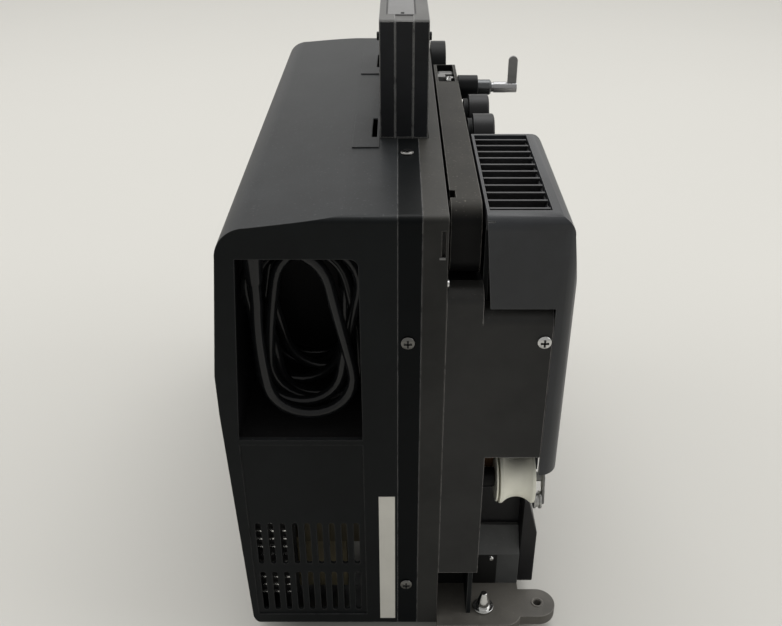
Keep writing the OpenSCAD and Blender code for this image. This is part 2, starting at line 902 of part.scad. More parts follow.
module lamphouse_cover() {
    low = -lamphouse_rear_low;
    color("#222326") datum() difference() {
        lamphouse_block(0);
        lamphouse_block(wall);
        block(louvre_in, lamphouse_top_x, louvre_end, louvre_y1, -wall - 1, 1);
        block(lamphouse_in - 2, lamphouse_rear_in, wall / 2, lamphouse_l + 1, -lamphouse_h - 1, -wall);
        along_y(-1, wall + 1) polygon([[lamphouse_in - 2, -wall], [lamphouse_in, -wall],
            [lamphouse_rear_in, low], [lamphouse_rear_in, low - 1], [lamphouse_in - 2, low - 1]]);
        block(lamphouse_in - 2, panel_x + gap, -1, panel_d + gap, -lamphouse_h - 1, low);
        rod_y(lamphouse_l - wall - 1, lamphouse_l + 1, film_x, lens_z, condenser_r);
    }
}

// Leaning slats in a frame that seats under the lamphouse top
module louvre_slats() {
    for (i = [0 : louvre_count - 1])
        translate([lamphouse_in, louvre_end + louvre_pitch * (i + louvre_start), -louvre_low])
            rotate([louvre_lean, 0, 0]) translate([0, 0, -2 * louvre_deep])
                cube([lamphouse_top_x - lamphouse_in, louvre_t, 2 * louvre_deep + louvre_t]);
}

module louvre_grille() {
    left = lamphouse_in + gap;
    right = lamphouse_top_x - gap;
    lap = louvre_rail / 2;
    color("#1d1e20") datum() {
        difference() {
            block(left, right, louvre_end - louvre_rail, louvre_y1 + louvre_rail, -louvre_deep, -wall);
            block(louvre_in, right - louvre_rail, louvre_end, louvre_y1, -louvre_deep - 1, -wall + 1);
        }
        intersection() {
            union() {
                block(louvre_in + gap, right - gap, louvre_end + gap, louvre_y1 - gap, -wall - 1,
                    -louvre_low);
                block(louvre_in - lap, right - lap, louvre_end - lap, louvre_y1 + lap,
                    louvre_set - louvre_deep, -wall - louvre_set);
            }
            louvre_slats();
        }
    }
}

// Lamp, socket, reflector and condenser on the lens axis
socket_top = lens_z - socket_drop;

module lamp_socket() {
    reach = lamp_r + socket_wall;
    color("#d8d4c8") datum() difference() {
        block(film_face, film_x + reach, lamp_y - reach, lamp_y + reach, socket_top - socket_h,
            socket_top + socket_lip);
        rod_z(socket_top, socket_top + socket_lip + 1, film_x, lamp_y, lamp_r + fit);
    }
}

module projection_lamp() {
    color("#dfe6ea") datum() translate([film_x, lamp_y, socket_top]) {
        cylinder(h = lamp_h - lamp_r, r = lamp_r);
        translate([0, 0, lamp_h - lamp_r]) rotate_extrude() intersection() {
            circle(lamp_r);
            square(lamp_r);
        }
    }
}

reflector_t = 2;
reflector_d = 8;
reflector_y = lamp_y - lamp_r - 14;
reflector_bow = (reflector_r * reflector_r + reflector_d * reflector_d) / (2 * reflector_d);

module lamp_reflector() {
    color("#d5d8da") datum() {
        translate([film_x, reflector_y, lens_z]) rotate([-90, 0, 0]) rotate_extrude() intersection() {
            square([reflector_r, reflector_d]);
            difference() {
                translate([0, reflector_bow]) circle(reflector_bow, $fn = 240);
                translate([0, reflector_bow]) circle(reflector_bow - reflector_t, $fn = 240);
            }
        }
        block(film_face, film_x - reflector_r + reflector_t, reflector_y + reflector_d - reflector_t - 2,
            reflector_y + reflector_d - reflector_t, lens_z - 8, lens_z + 8);
    }
}

module convex_lens(r, t) {
    bow = (r * r + t * t / 4) / t;
    rotate([-90, 0, 0]) rotate_extrude() intersection() {
        translate([0, -t / 2]) square([r, t]);
        translate([0, bow - t / 2]) circle(bow, $fn = 480);
        translate([0, t / 2 - bow]) circle(bow, $fn = 480);
    }
}

module condenser_lens() {
    color("#cfe0ea") datum() translate([film_x, condenser_y + condenser_t / 2, lens_z])
        rotate([-90, 0, 0]) rotate_extrude() {
            square([condenser_r, condenser_t / 2 - 1]);
            translate([0, 1 - condenser_t / 2]) square([condenser_r, condenser_t / 2]);
            intersection() {
                square([condenser_r, condenser_t]);
                translate([0, condenser_t / 2 - condenser_bow]) circle(condenser_bow);
            }
        }
}

shutter_z = lens_z - shutter_drop;

module shutter_disc() {
    color("#26272a") datum() translate([film_x, shutter_y, shutter_z]) rotate([-90, 0, 0]) {
        linear_extrude(shutter_t) difference() {
            circle(shutter_r);
            for (turn = [0, 180]) rotate(turn) intersection() {
                difference() {
                    circle(shutter_r + 1);
                    circle(shutter_r / 3);
                }
                polygon([[0, 0], [-shutter_r, -2 * shutter_r], [shutter_r, -2 * shutter_r]]);
            }
        }
        cylinder(h = gate_y + gate_t - shutter_y - 2, r = shaft_r);
    }
}

module gate_block() {
    color("#4b4c4e") datum() difference() {
        block(film_face, film_x + gate_reach, gate_y, gate_y + gate_t, lens_z - gate_h / 2,
            lens_z + gate_h / 2);
        rod_y(gate_y - 1, gate_y + gate_t - 1, film_x, shutter_z, shaft_r + fit);
        rod_y(gate_y - 1, gate_y + gate_t + 1, film_x, lens_z, aperture_h);
    }
}

aperture_y = gate_y + gate_t;
pressure_y = aperture_y + aperture_t + film_gap;
guide_pin_r = 2;
guide_pin_x = film_x - 20;
guide_pin_out = 26;

module aperture_plate() {
    color("#b9bcbf") datum() {
        difference() {
            block(film_face, film_x + gate_reach, aperture_y, aperture_y + aperture_t, lens_z - gate_h / 2,
                lens_z + gate_h / 2);
            block(film_x - aperture_w / 2, film_x + aperture_w / 2, aperture_y - 1,
                aperture_y + aperture_t + 1, lens_z - aperture_h / 2, lens_z + aperture_h / 2);
        }
        for (z = [-guide_pin_out, guide_pin_out])
            rod_y(aperture_y + aperture_t, lens_y - 3, guide_pin_x, lens_z + z, guide_pin_r);
    }
}

module pressure_plate() {
    color("#c6c8ca") datum() difference() {
        block(guide_pin_x - guide_pin_edge, film_x + gate_reach - 2, pressure_y, pressure_y + pressure_t,
            lens_z - gate_h / 2 + pressure_edge, lens_z + gate_h / 2 - pressure_edge);
        block(film_x - aperture_w / 2 - 1, film_x + aperture_w / 2 + 1, pressure_y - 1,
            pressure_y + pressure_t + 1, lens_z - aperture_h / 2 - 1, lens_z + aperture_h / 2 + 1);
        for (z = [-guide_pin_out, guide_pin_out])
            rod_y(pressure_y - 1, pressure_y + pressure_t + 1, guide_pin_x, lens_z + z, guide_pin_r + fit);
    }
}

sleeve_r = lens_r + holder_wall;
focus_y = holder_y + holder_l / 2;
focus_z = lens_z - sleeve_r - focus_r - 2;
focus_x = film_x + 6;

module lens_holder() {
    color("#3c3d3f") datum() difference() {
        union() {
            rod_y(holder_y, holder_y + holder_l, film_x, lens_z, sleeve_r);
            block(film_face, film_x - lens_r / 2, holder_y, holder_y + holder_l,
                lens_z - sleeve_r + holder_flat, lens_z + sleeve_r - holder_flat);
            block(film_face, focus_x, focus_y - holder_ear_l / 2, focus_y + holder_ear_l / 2,
                focus_z - holder_ear_low, lens_z - lens_r - 1);
        }
        rod_y(holder_y - 1, holder_y + holder_l + 1, film_x, lens_z, lens_r + fit);
        rod_x(film_face + 4, focus_x + 1, focus_y, focus_z, shaft_r + fit);
    }
}

lens_bore = lens_r - 4;
lens_ring_r = lens_r + 3;

module lens_barrel() {
    color("#2b2c2e") datum() difference() {
        union() {
            rod_y(lens_y, lens_y + lens_l, film_x, lens_z, lens_r);
            rod_y(lens_y + lens_l - lens_ring_in - lens_ring_l, lens_y + lens_l - lens_ring_in, film_x,
                lens_z, lens_ring_r);
        }
        rod_y(lens_y - 1, lens_y + lens_l + 1, film_x, lens_z, lens_bore + fit);
    }
}

module lens_glass() {
    color("#b8d2e4") datum() for (y = [lens_y + lens_glass_in, lens_y + lens_l - lens_glass_in])
        translate([film_x, y, lens_z]) convex_lens(lens_bore, lens_glass_t);
}

module focus_knob() {
    color("#1c1d1f") datum() {
        rod_x(film_face + 6, focus_x + gap, focus_y, focus_z, shaft_r);
        difference() {
            rod_x(focus_x + gap, focus_x + gap + focus_l, focus_y, focus_z, focus_r);
            for (i = [1 : focus_grips]) rotate_about(focus_y, focus_z, 360 / focus_grips * i)
                rod_x(focus_x + 2, focus_x + focus_l + 1, focus_y, focus_z + focus_r, focus_grip_r);
        }
    }
}

module rotate_about(y, z, a) { translate([0, y, z]) rotate([a, 0, 0]) translate([0, -y, -z]) children(); }

// Film sprockets, sound drum and the belt that turns the sprockets
film_in = film_x - sprocket_w / 2;
film_out = film_x + sprocket_w / 2;

module sprocket(y, z) {
    rod_x(frame_in + 1, film_out, y, z, shaft_r);
    pulley(y, z);
    rod_x(film_in, film_out, y, z, sprocket_r - sprocket_step);
    for (x = [film_in, film_out - sprocket_rim]) {
        rod_x(x, x + sprocket_rim, y, z, sprocket_r);
        for (i = [1 : tooth_count]) rotate_about(y, z, 360 / tooth_count * i)
            block(x + 1, x + 2, y - tooth_t / 2, y + tooth_t / 2, z + sprocket_r - 1,
                z + sprocket_r + tooth_h);
    }
}

module upper_sprocket() {
    color("#b4b6b8") datum() sprocket(upper_sprocket_y, -upper_sprocket_drop);
}

module lower_sprocket() {
    color("#b4b6b8") datum() sprocket(lower_sprocket_y, -lower_sprocket_drop);
}

module sound_drum() {
    color("#c2c4c6") datum() {
        rod_x(frame_in + 1, film_out, drum_y, -drum_drop, shaft_r);
        rod_x(film_in, film_out, drum_y, -drum_drop, drum_r);
        rod_x(pulley_x, pulley_x + pulley_w, drum_y, -drum_drop, flywheel_r);
    }
}

belt_t = 1.6;

module belt_loop(r) {
    hull() for (p = [[motor_y, -motor_drop], [upper_sprocket_y, -upper_sprocket_drop],
        [lower_sprocket_y, -lower_sprocket_drop]]) translate(p) circle(r);
}

module drive_belt() {
    color("#18181a") datum() along_x(pulley_x + 1, pulley_x + pulley_w - 1) difference() {
        belt_loop(pulley_r + gap + belt_t);
        belt_loop(pulley_r + gap);
    }
}

// White guide roller with a thin lip on its post, and the keeper roller below it
roller_in = film_x - roller_w / 2 - roller_lip_gap - roller_lip_t;
roller_neck_r = roller_r / 2;

module guide_roller() {
    land = roller_w - 4;
    bow = (land * land / 4 + roller_waist * roller_waist) / (2 * roller_waist);
    bore = shaft_r + fit;
    start = roller_lip_gap + roller_lip_t;
    color("#e9e6da") datum() translate([roller_in, roller_y, -roller_drop]) rotate([0, 90, 0])
        rotate_extrude() difference() {
            union() {
                translate([bore, 0]) square([roller_r - 1 - bore, roller_lip_t]);
                translate([bore, 0]) square([roller_neck_r - bore, start + 1]);
                translate([bore, start]) square([roller_r - bore, roller_w]);
            }
            translate([roller_r - roller_waist + bow, start + roller_w / 2]) circle(bow);
        }
}

roller_out = film_x + roller_w / 2 + gap;
keeper_t = 1.5;
keeper_y = roller_y - 6;
keeper_z = -roller_drop - keeper_fall;
keeper_pin_r = 1.5;
keeper_x = roller_out + gap;
keeper_arm_x = keeper_x + keeper_l + gap;
keeper_rim = 1.5;
keeper_step = 0.8;

module roller_post() {
    color("#9da0a3") datum() {
        rod_x(film_face, keeper_arm_x + keeper_t, roller_y, -roller_drop, shaft_r);
        rod_x(film_face, roller_in - gap, roller_y, -roller_drop, shaft_r + 3);
        along_x(keeper_arm_x, keeper_arm_x + keeper_t) {
            translate([roller_y, -roller_drop]) circle(shaft_r + 2);
            translate([keeper_y, keeper_z]) circle(shaft_r);
            polygon([[roller_y - shaft_r - 2, -roller_drop], [roller_y + shaft_r + 2, -roller_drop],
                [keeper_y + shaft_r, keeper_z], [keeper_y - shaft_r, keeper_z]]);
        }
        rod_x(keeper_x, keeper_arm_x + 1, keeper_y, keeper_z, keeper_pin_r);
    }
}

module keeper_roller() {
    color("silver") datum() translate([keeper_x, keeper_y, keeper_z]) rotate([0, 90, 0]) rotate_extrude()
        polygon([[keeper_pin_r + fit, 0], [keeper_r, 0], [keeper_r, keeper_rim],
            [keeper_r - keeper_step, keeper_rim], [keeper_r - keeper_step, keeper_l - keeper_rim],
            [keeper_r, keeper_l - keeper_rim], [keeper_r, keeper_l], [keeper_pin_r + fit, keeper_l]]);
}

// Sill with its sloped upper face, held by one small screw
sill_top = base_z + sill_face_h;
sill_screw_z = base_z + sill_screw_up;

module sill_panel() {
    slope_top = sill_top + sill_slope_h;
    color("#3a3a3b") datum() difference() {
        along_x(film_face, base_x) polygon([[sill_y, base_z], [sill_y, sill_top],
            [sill_y + sill_slope_d, slope_top], [sill_y + sill_slope_d + wall, slope_top],
            [sill_y + wall, sill_top], [sill_y + wall, base_z]]);
        rod_y(sill_y - 1, sill_y + wall + 1, sill_screw_x, sill_screw_z, sill_screw_r / 2 + fit);
    }
}

module sill_screw() {
    color("silver") datum() translate([sill_screw_x, sill_y, sill_screw_z]) {
        rod_y(-1, screw_l, 0, 0, sill_screw_r / 2);
        rotate([90, 0, 0]) cylinder(h = sill_screw_r, r1 = sill_screw_r, r2 = sill_screw_r - 0.6);
    }
}

// Cover of the sound head, a shell that stands on the base plate
sound_y = sill_y + 2;
sound_in_y = sill_y + sill_slope_d + wall + gap;
sound_left = base_x + gap;

module sound_profile(left, inset) {
    polygon([[left, -sound_top - inset], [sound_top_x - inset, -sound_top - inset],
        [sound_x - inset, -sound_shoulder], [sound_x - inset, base_z], [left, base_z]]);
}

module sound_cover() {
    color("#161719") datum() difference() {
        union() {
            along_y(sound_in_y, sound_end) sound_profile(film_face, 0);
            along_y(sound_y, sound_in_y + 1) sound_profile(sound_left, 0);
        }
        translate([0, 0, -wall]) along_y(sound_in_y + wall, sound_end - wall)
            sound_profile(film_face - 1, wall);
    }
}

// Plain control knobs on shafts in the mechanism plate
module knob(y) {
    x0 = film_face + gap;
    rod_x(film_plate_x - 1, x0 + 1, y, -knob_drop, shaft_r);
    translate([x0, y, -knob_drop]) rotate([0, 90, 0]) rotate_extrude()
        polygon([[0, 0], [knob_r, 0], [knob_r, knob_l - knob_edge], [knob_r - knob_edge, knob_l],
            [0, knob_l]]);
}

module function_knob() {
    color("#3a3b3d") datum() knob(knob_y[0]);
}

module volume_knob() {
    color("#3a3b3d") datum() knob(knob_y[1]);
}

// Reel arms: pivots, arms, bearings, spindles and lock tabs
rear_pivot_y = rear_arm_y + pivot_in;
rear_pivot_z = -rear_arm_h / 2;
rear_arm_end = rear_arm_y + rear_arm_l;
spindle_y = rear_arm_end - spindle_in;
spindle_z = -spindle_drop;
shoulder_x = rear_arm_in + bearing_l;
front_spindle_z = front_pivot_z - front_arm_reach;

module arm_pivots() {
    color("#a9abad") datum() {
        rod_x(frame_in, rear_arm_in, rear_pivot_y, rear_pivot_z, pivot_r);
        rod_x(frame_in - pivot_flange_t, frame_in, rear_pivot_y, rear_pivot_z, pivot_r + pivot_flange);
        rod_x(frame_in, front_arm_in, front_pivot_y, front_pivot_z, pivot_r);
        rod_x(frame_in - pivot_flange_t, frame_in, front_pivot_y, front_pivot_z, pivot_r + pivot_flange);
    }
}

module rear_arm() {
    color("#2f2f30") datum() difference() {
        along_x(rear_arm_x, rear_arm_in) difference() {
            translate([rear_arm_y, -rear_arm_h]) square([rear_arm_l, rear_arm_h]);
            corner_cut([rear_arm_y, -rear_arm_h], rear_arm_r, 0);
            corner_cut([rear_arm_end, -rear_arm_h], arm_tip_r, 1);
            corner_cut([rear_arm_end, 0], arm_tip_r / 3, 2);
            corner_cut([rear_arm_y, 0], rear_arm_r, 3);
        }
        rod_x(rear_arm_x - 1, rear_arm_in + 1, rear_pivot_y, rear_pivot_z, pivot_r + fit);
        rod_x(rear_arm_x + well_wall, rear_arm_in + 1, spindle_y, spindle_z, journal_r + fit);
        block(rear_arm_x + well_wall, rear_arm_in - well_wall, rear_arm_end - well_l - well_wall,
            rear_arm_end - well_wall, -well_d, 1);
        block(rear_arm_x - 1, rear_arm_x + notch_w, rear_arm_y + notch_in,
            rear_arm_y + notch_in + notch_l, -notch_d, 1);
    }
}

block_in = 4;
block_l = 18;
block_w = 6;
block_step_l = 10;
block_step_h = 7;

module spindle_block() {
    x0 = rear_arm_x + well_wall;
    y0 = spindle_y + block_in;
    color("#8b8e91") datum() difference() {
        block(x0, x0 + block_w, y0, y0 + block_l, -well_d, -well_wall);
        block(x0 - 1, x0 + block_w + 1, y0 - 1, y0 + block_step_l, block_step_h - well_d, 0);
    }
}

module spindle_bearing(x0, y, z) {
    difference() {
        rod_x(x0, shoulder_x, y, z, bearing_r);
        rod_x(x0 - 1, shoulder_x + 1, y, z, journal_r + fit);
    }
}

module rear_spindle_bearing() {
    color("#101112") datum() spindle_bearing(rear_arm_in, spindle_y, spindle_z);
}

hub_x = shoulder_x + hub_l;
spindle_end = hub_x + spindle_l;
tab_x = spindle_end - tab_in;

module spindle(x0, y, z) {
    pin_from = hub_l - gap;
    hub_to = pin_from - relief_l;
    difference() {
        union() {
            rod_x(x0, hub_x, y, z, journal_r);
            translate([shoulder_x + gap, y, z]) rotate([0, 90, 0]) rotate_extrude()
                polygon([[0, 0], [hub_r, 0], [hub_r, hub_to - hub_edge], [hub_r - hub_edge, hub_to],
                    [relief_r, hub_to], [relief_r, pin_from], [spindle_r, pin_from],
                    [spindle_r, pin_from + seat_l], [tip_r, pin_from + seat_l],
                    [tip_r, pin_from + spindle_l], [0, pin_from + spindle_l]]);
        }
        block(tab_x - tab_w / 2 - gap, spindle_end + 1, y - tab_t / 2 - gap / 2, y + tab_t / 2 + gap / 2,
            z - spindle_r - 1, z + spindle_r + 1);
    }
    rod_y(y - spindle_r / 2, y + spindle_r / 2, tab_x, z, tab_pin_r);
}

module lock_tab(y, z) {
    along_y(y - tab_t / 2, y + tab_t / 2) translate([tab_x, z]) difference() {
        union() {
            circle(tab_w / 2);
            translate([-tab_w / 2, 0]) square([tab_w, tab_l - tab_w / 2]);
            translate([0, tab_l - tab_w / 2]) circle(tab_w / 2);
        }
        circle(tab_pin_r + fit);
    }
}

module rear_spindle() {
    color("#c8cacc") datum() spindle(rear_arm_x + well_wall + gap, spindle_y, spindle_z);
}

module rear_lock_tab() {
    color("#6d7074") datum() lock_tab(spindle_y, spindle_z);
}

module front_arm() {
    color("#2a2a2c") datum() difference() {
        union() {
            rod_x(front_arm_x, front_arm_in, front_pivot_y, front_pivot_z, front_hub_r);
            rod_x(front_arm_x, front_arm_in, front_pivot_y, front_spindle_z, front_tip_r);
            along_x(front_arm_x, front_arm_in) translate([front_pivot_y, front_pivot_z])
                polygon([[front_side_in - front_hub_r, 0], [front_hub_r - front_side_in, 0],
                    [front_tip_r - front_tip_in, -front_arm_reach],
                    [front_tip_in - front_tip_r, -front_arm_reach]]);
        }
        rod_x(front_arm_x - 1, front_arm_in + 1, front_pivot_y, front_pivot_z, pivot_r + fit);
        rod_x(front_arm_x + well_wall, front_arm_in + 1, front_pivot_y, front_spindle_z, journal_r + fit);
    }
}

module front_spindle_bearing() {
    color("#101112") datum() spindle_bearing(front_arm_in, front_pivot_y, front_spindle_z);
}

module front_spindle() {
    color("#c8cacc") datum() spindle(front_arm_x + well_wall + gap, front_pivot_y, front_spindle_z);
}

module front_lock_tab() {
    color("#6d7074") datum() lock_tab(front_pivot_y, front_spindle_z);
}

// Carrying handle: two cheeks and a core on cross pins, sliding in the body
handle_end = handle_y + handle_l;
handle_low = -wall - gap - flange_h;
grip_under = handle_rise - grip_t;

module handle_outline(inset) {
    difference() {
        translate([handle_y + inset, handle_low])
            square([handle_l - 2 * inset, handle_rise - inset - handle_low]);
        corner_cut([handle_end - inset, handle_rise - inset], handle_r, 2);
        corner_cut([handle_y + inset, handle_rise - inset], handle_r, 3);
        difference() {
            translate([handle_y + leg_l - inset, handle_low - 1]) square([handle_l - 2 * leg_l + 2 * inset,
                grip_under + inset + 1 - handle_low]);
            corner_cut([handle_end - leg_l + inset, grip_under + inset], handle_inner_r, 2);
            corner_cut([handle_y + leg_l - inset, grip_under + inset], handle_inner_r, 3);
        }
    }
}

pin_y = [handle_y + pin_in, handle_end - pin_in];
pin_z = handle_rise - pin_drop;

module handle_cuts() {
    for (y = pin_y) rod_x(handle_x - 1, handle_in + 1, y, pin_z, pin_r + fit);
    inlay_bed(fit);
}

module inlay_bed(grow) {
    block(handle_x + inlay_in - grow, handle_x + inlay_in + inlay_w + grow, handle_y + inlay_end - grow,
        handle_end - inlay_end + grow, handle_rise + inlay_proud - inlay_t - grow / 2, handle_rise + 1);
}

module handle_core() {
    color("#1a1b1c") datum() difference() {
        union() {
            along_x(handle_x + cheek_t, handle_in - cheek_t) handle_outline(core_inset);
            for (y = [handle_y, handle_end - leg_l])
                block(handle_x + cheek_t, handle_in - cheek_t, y - foot_flange, y + leg_l + foot_flange,
                    handle_low, handle_low + flange_h);
        }
        handle_cuts();
    }
}

module handle_cheeks() {
    color("#1c1d1e") datum() difference() {
        for (x = [handle_x, handle_in - cheek_t]) along_x(x, x + cheek_t) handle_outline(0);
        handle_cuts();
    }
}

module handle_inlay() {
    color("#b5b6b6") datum() intersection() {
        inlay_bed(0);
        block(handle_x, handle_in, handle_y, handle_end, 0, handle_rise + inlay_proud);
    }
}

module handle_pins() {
    color("#4a4b4d") datum() for (y = pin_y) rod_x(handle_x - pin_out, handle_in + pin_out, y, pin_z, pin_r);
}

main_frame();
cover_band();
left_cover();
case_screws();
guide_plates();
cord_box();
cord_gland();
mains_cord();
mains_plug();
chassis_tray();
transformer_core();
transformer_coil();
amplifier_board();
motor_body();
motor_rotor();
base_plate();
lid_pins();
rubber_feet();
film_plate();
rear_panel();
lamphouse_cover();
louvre_grille();
lamp_socket();
projection_lamp();
lamp_reflector();
condenser_lens();
shutter_disc();
gate_block();
aperture_plate();
pressure_plate();
lens_holder();
lens_barrel();
lens_glass();
focus_knob();
upper_sprocket();
lower_sprocket();
sound_drum();
drive_belt();
guide_roller();
roller_post();
keeper_roller();
sill_panel();
sill_screw();
sound_cover();
function_knob();
volume_knob();
arm_pivots();
rear_arm();
spindle_block();
rear_spindle_bearing();
rear_spindle();
rear_lock_tab();
front_arm();
front_spindle_bearing();
front_spindle();
front_lock_tab();
handle_core();
handle_cheeks();
handle_inlay();
handle_pins();
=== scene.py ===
import math
import bmesh
import bpy
from mathutils import Matrix, Vector


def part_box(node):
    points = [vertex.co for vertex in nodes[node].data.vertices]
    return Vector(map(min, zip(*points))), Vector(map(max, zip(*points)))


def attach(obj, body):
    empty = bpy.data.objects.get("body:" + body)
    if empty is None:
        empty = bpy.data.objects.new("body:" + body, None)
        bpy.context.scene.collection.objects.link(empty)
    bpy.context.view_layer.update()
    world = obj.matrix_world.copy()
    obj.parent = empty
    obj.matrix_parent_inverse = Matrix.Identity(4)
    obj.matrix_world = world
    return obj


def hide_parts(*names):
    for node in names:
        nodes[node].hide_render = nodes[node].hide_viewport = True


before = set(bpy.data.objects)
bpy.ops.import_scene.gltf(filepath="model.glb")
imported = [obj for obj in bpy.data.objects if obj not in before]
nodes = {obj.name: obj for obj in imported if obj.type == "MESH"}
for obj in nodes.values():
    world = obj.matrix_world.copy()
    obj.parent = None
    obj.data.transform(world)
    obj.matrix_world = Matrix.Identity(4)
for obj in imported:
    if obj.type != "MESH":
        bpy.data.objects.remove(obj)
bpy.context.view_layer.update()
print("frame loaded:", len(nodes), "nodes")

# every place below is in millimetres from the case datum:
# the seam, the rear plane and the top of the case
mm = 0.001
coverLow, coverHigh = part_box("left_cover")
datum = Vector((coverHigh.x, coverLow.y, coverHigh.z))


def spot(x, y, z):
    return datum + Vector((x, y, z)) * mm


# Camera, floor and light

viewpoint = {
    "back": 410.6, "above": 190.4, "pitch": 31.0,   # where the photographer stood
    "frameWidth": 782, "focalPixels": 890, "axisPixel": 397.5, "sensor": 36.0,
}
studio = {
    "floorRadius": 9.0, "floorColour": (0.585, 0.575, 0.54),
    "floorRough": 0.6, "floorShine": 0.15, "floorDrift": 1.03,
    "skyColour": (1.0, 0.99, 0.97),
    "skyNear": 0.50, "skyFar": 0.95,   # the wall beyond the case is the brighter one
    "softbox": {"place": (0.1, 0.9, 2.4), "aim": (0.0, 0.1, 0.1), "size": (2.6, 1.8), "watts": 34},
    "sideFill": {"place": (-2.2, 0.4, 1.5), "aim": (0.0, 0.0, 0.2), "size": (1.4, 1.4), "watts": 8},
    "windowFill": {"place": (2.2, -0.2, 1.7), "aim": (0.0, 0.0, 0.2), "size": (1.4, 1.4), "watts": 11},
}


def placeCamera(view):
    camera = bpy.data.objects.new("photoCamera", bpy.data.cameras.new("photoCamera"))
    bpy.context.scene.collection.objects.link(camera)
    camera.data.sensor_fit = "HORIZONTAL"
    camera.data.sensor_width = view["sensor"]
    camera.data.lens = view["sensor"] * view["focalPixels"] / view["frameWidth"]
    camera.data.shift_x = (view["frameWidth"] / 2 - view["axisPixel"]) / view["frameWidth"]
    camera.data.clip_start = 0.01
    camera.location = spot(0, -view["back"], view["above"])
    camera.rotation_euler = (math.radians(90 - view["pitch"]), 0, 0)
    bpy.context.scene.camera = camera


def addSoftbox(name, light):
    lamp = bpy.data.lights.new(name, "AREA")
    lamp.shape = "RECTANGLE"
    lamp.size, lamp.size_y = light["size"]
    lamp.energy = light["watts"]
    box = bpy.data.objects.new(name, lamp)
    bpy.context.scene.collection.objects.link(box)
    box.location = light["place"]
    aim = Vector(light["aim"]) - box.location
    box.rotation_euler = aim.to_track_quat("-Z", "Y").to_euler()


placeCamera(viewpoint)
addSoftbox("overheadSoftbox", studio["softbox"])
addSoftbox("sideFill", studio["sideFill"])
addSoftbox("windowFill", studio["windowFill"])
bpy.context.scene.view_settings.view_transform = "Standard"
print("camera and lamps placed")


# Small helpers for node trees

def addNode(tree, kind, inputs=None, **settings):
    node = tree.nodes.new(kind)
    for key, value in settings.items():
        setattr(node, key, value)
    for socket, value in (inputs or {}).items():
        if isinstance(value, bpy.types.NodeSocket):
            tree.links.new(value, node.inputs[socket])
        else:
            node.inputs[socket].default_value = value
    return node


def firstOut(tree, kind, inputs=None, **settings):
    return addNode(tree, kind, inputs, **settings).outputs[0]


def mathNode(tree, operation, *values, clamp=False):
    sockets = dict(enumerate(values))
    return firstOut(tree, "ShaderNodeMath", sockets, operation=operation, use_clamp=clamp)


def rampNode(tree, value, low, high):
    sockets = {0: value, 1: low, 2: high}
    return firstOut(tree, "ShaderNodeMapRange", sockets, interpolation_type="SMOOTHSTEP")


def mixColour(tree, factor, first, second):
    sockets = {0: factor, 6: first, 7: second}
    for key in (6, 7):
        if isinstance(sockets[key], tuple):
            sockets[key] = (*sockets[key], 1)
    return addNode(tree, "ShaderNodeMix", sockets, data_type="RGBA").outputs[2]


def noiseNode(tree, vector, scale, detail=2.0, rough=0.5):
    sockets = {"Vector": vector, "Scale": scale, "Detail": detail, "Roughness": rough}
    return addNode(tree, "ShaderNodeTexNoise", sockets).outputs["Fac"]


def newGroup(name, inputs, outputs):
    tree = bpy.data.node_groups.new(name, "ShaderNodeTree")
    for label, value in inputs.items():
        socket = tree.interface.new_socket(name=label, in_out="INPUT", socket_type="NodeSocketFloat")
        socket.default_value = value
    for label in outputs:
        tree.interface.new_socket(name=label, in_out="OUTPUT", socket_type="NodeSocketFloat")
    return tree, addNode(tree, "NodeGroupInput").outputs, addNode(tree, "NodeGroupOutput").inputs


# Sky: one even colour that grows brighter towards the far wall

def setSky(look):
    world = bpy.data.worlds.new("studioSky")
    world.use_nodes = True
    tree = world.node_tree
    sky = tree.nodes["Background"]
    sky.inputs["Color"].default_value = (*look["skyColour"], 1)
    toward = addNode(tree, "ShaderNodeTexCoord").outputs["Generated"]
    far = addNode(tree, "ShaderNodeSeparateXYZ", {0: toward}).outputs["Y"]
    sockets = {0: far, 1: -0.5, 2: 0.7, 3: look["skyNear"], 4: look["skyFar"]}
    level = firstOut(tree, "ShaderNodeMapRange", sockets, interpolation_type="SMOOTHSTEP")
    tree.links.new(level, sky.inputs["Strength"])
    bpy.context.scene.world = world


setSky(studio)
print("sky set")


# Shared surface effects

def makeGrainGroup():
    scales = {"Grain Scale": 900, "Blotch Scale": 14}
    tree, given, result = newGroup("surfaceGrain", scales, ["Height", "Blotch"])
    place = addNode(tree, "ShaderNodeTexCoord").outputs["Object"]
    fine = noiseNode(tree, place, given["Grain Scale"], 3.0, 0.6)
    tree.links.new(fine, result["Height"])
    tree.links.new(noiseNode(tree, place, given["Blotch Scale"], 5.0, 0.62), result["Blotch"])
    return tree


wearAndHighlight = {"bendFrom": 0.985, "bendTo": 0.86, "patchFrom": 0.25, "patchTo": 0.52}


# worn edges that also stand in for painted highlights: edges are made lighter, as a highlight on the
# rounding would be
def makeWearAndHighlightGroup():
    sizes = {"Radius": 0.0012, "Amount": 0.5, "Break Scale": 160}
    tree, given, result = newGroup("edgeWearAndHighlight", sizes, ["Mask"])
    place = addNode(tree, "ShaderNodeTexCoord").outputs["Object"]
    rounded = addNode(tree, "ShaderNodeBevel", {"Radius": given["Radius"]}, samples=3).outputs["Normal"]
    flat = addNode(tree, "ShaderNodeNewGeometry").outputs["Normal"]
    turn = addNode(tree, "ShaderNodeVectorMath", {0: rounded, 1: flat}, operation="DOT_PRODUCT")
    edge = rampNode(tree, turn.outputs["Value"], wearAndHighlight["bendFrom"], wearAndHighlight["bendTo"])
    broken = noiseNode(tree, place, given["Break Scale"], 4.0, 0.7)
    patchy = rampNode(tree, broken, wearAndHighlight["patchFrom"], wearAndHighlight["patchTo"])
    wornAndLit = mathNode(tree, "MULTIPLY", edge, patchy)
    tree.links.new(mathNode(tree, "MULTIPLY", wornAndLit, given["Amount"], clamp=True), result["Mask"])
    return tree


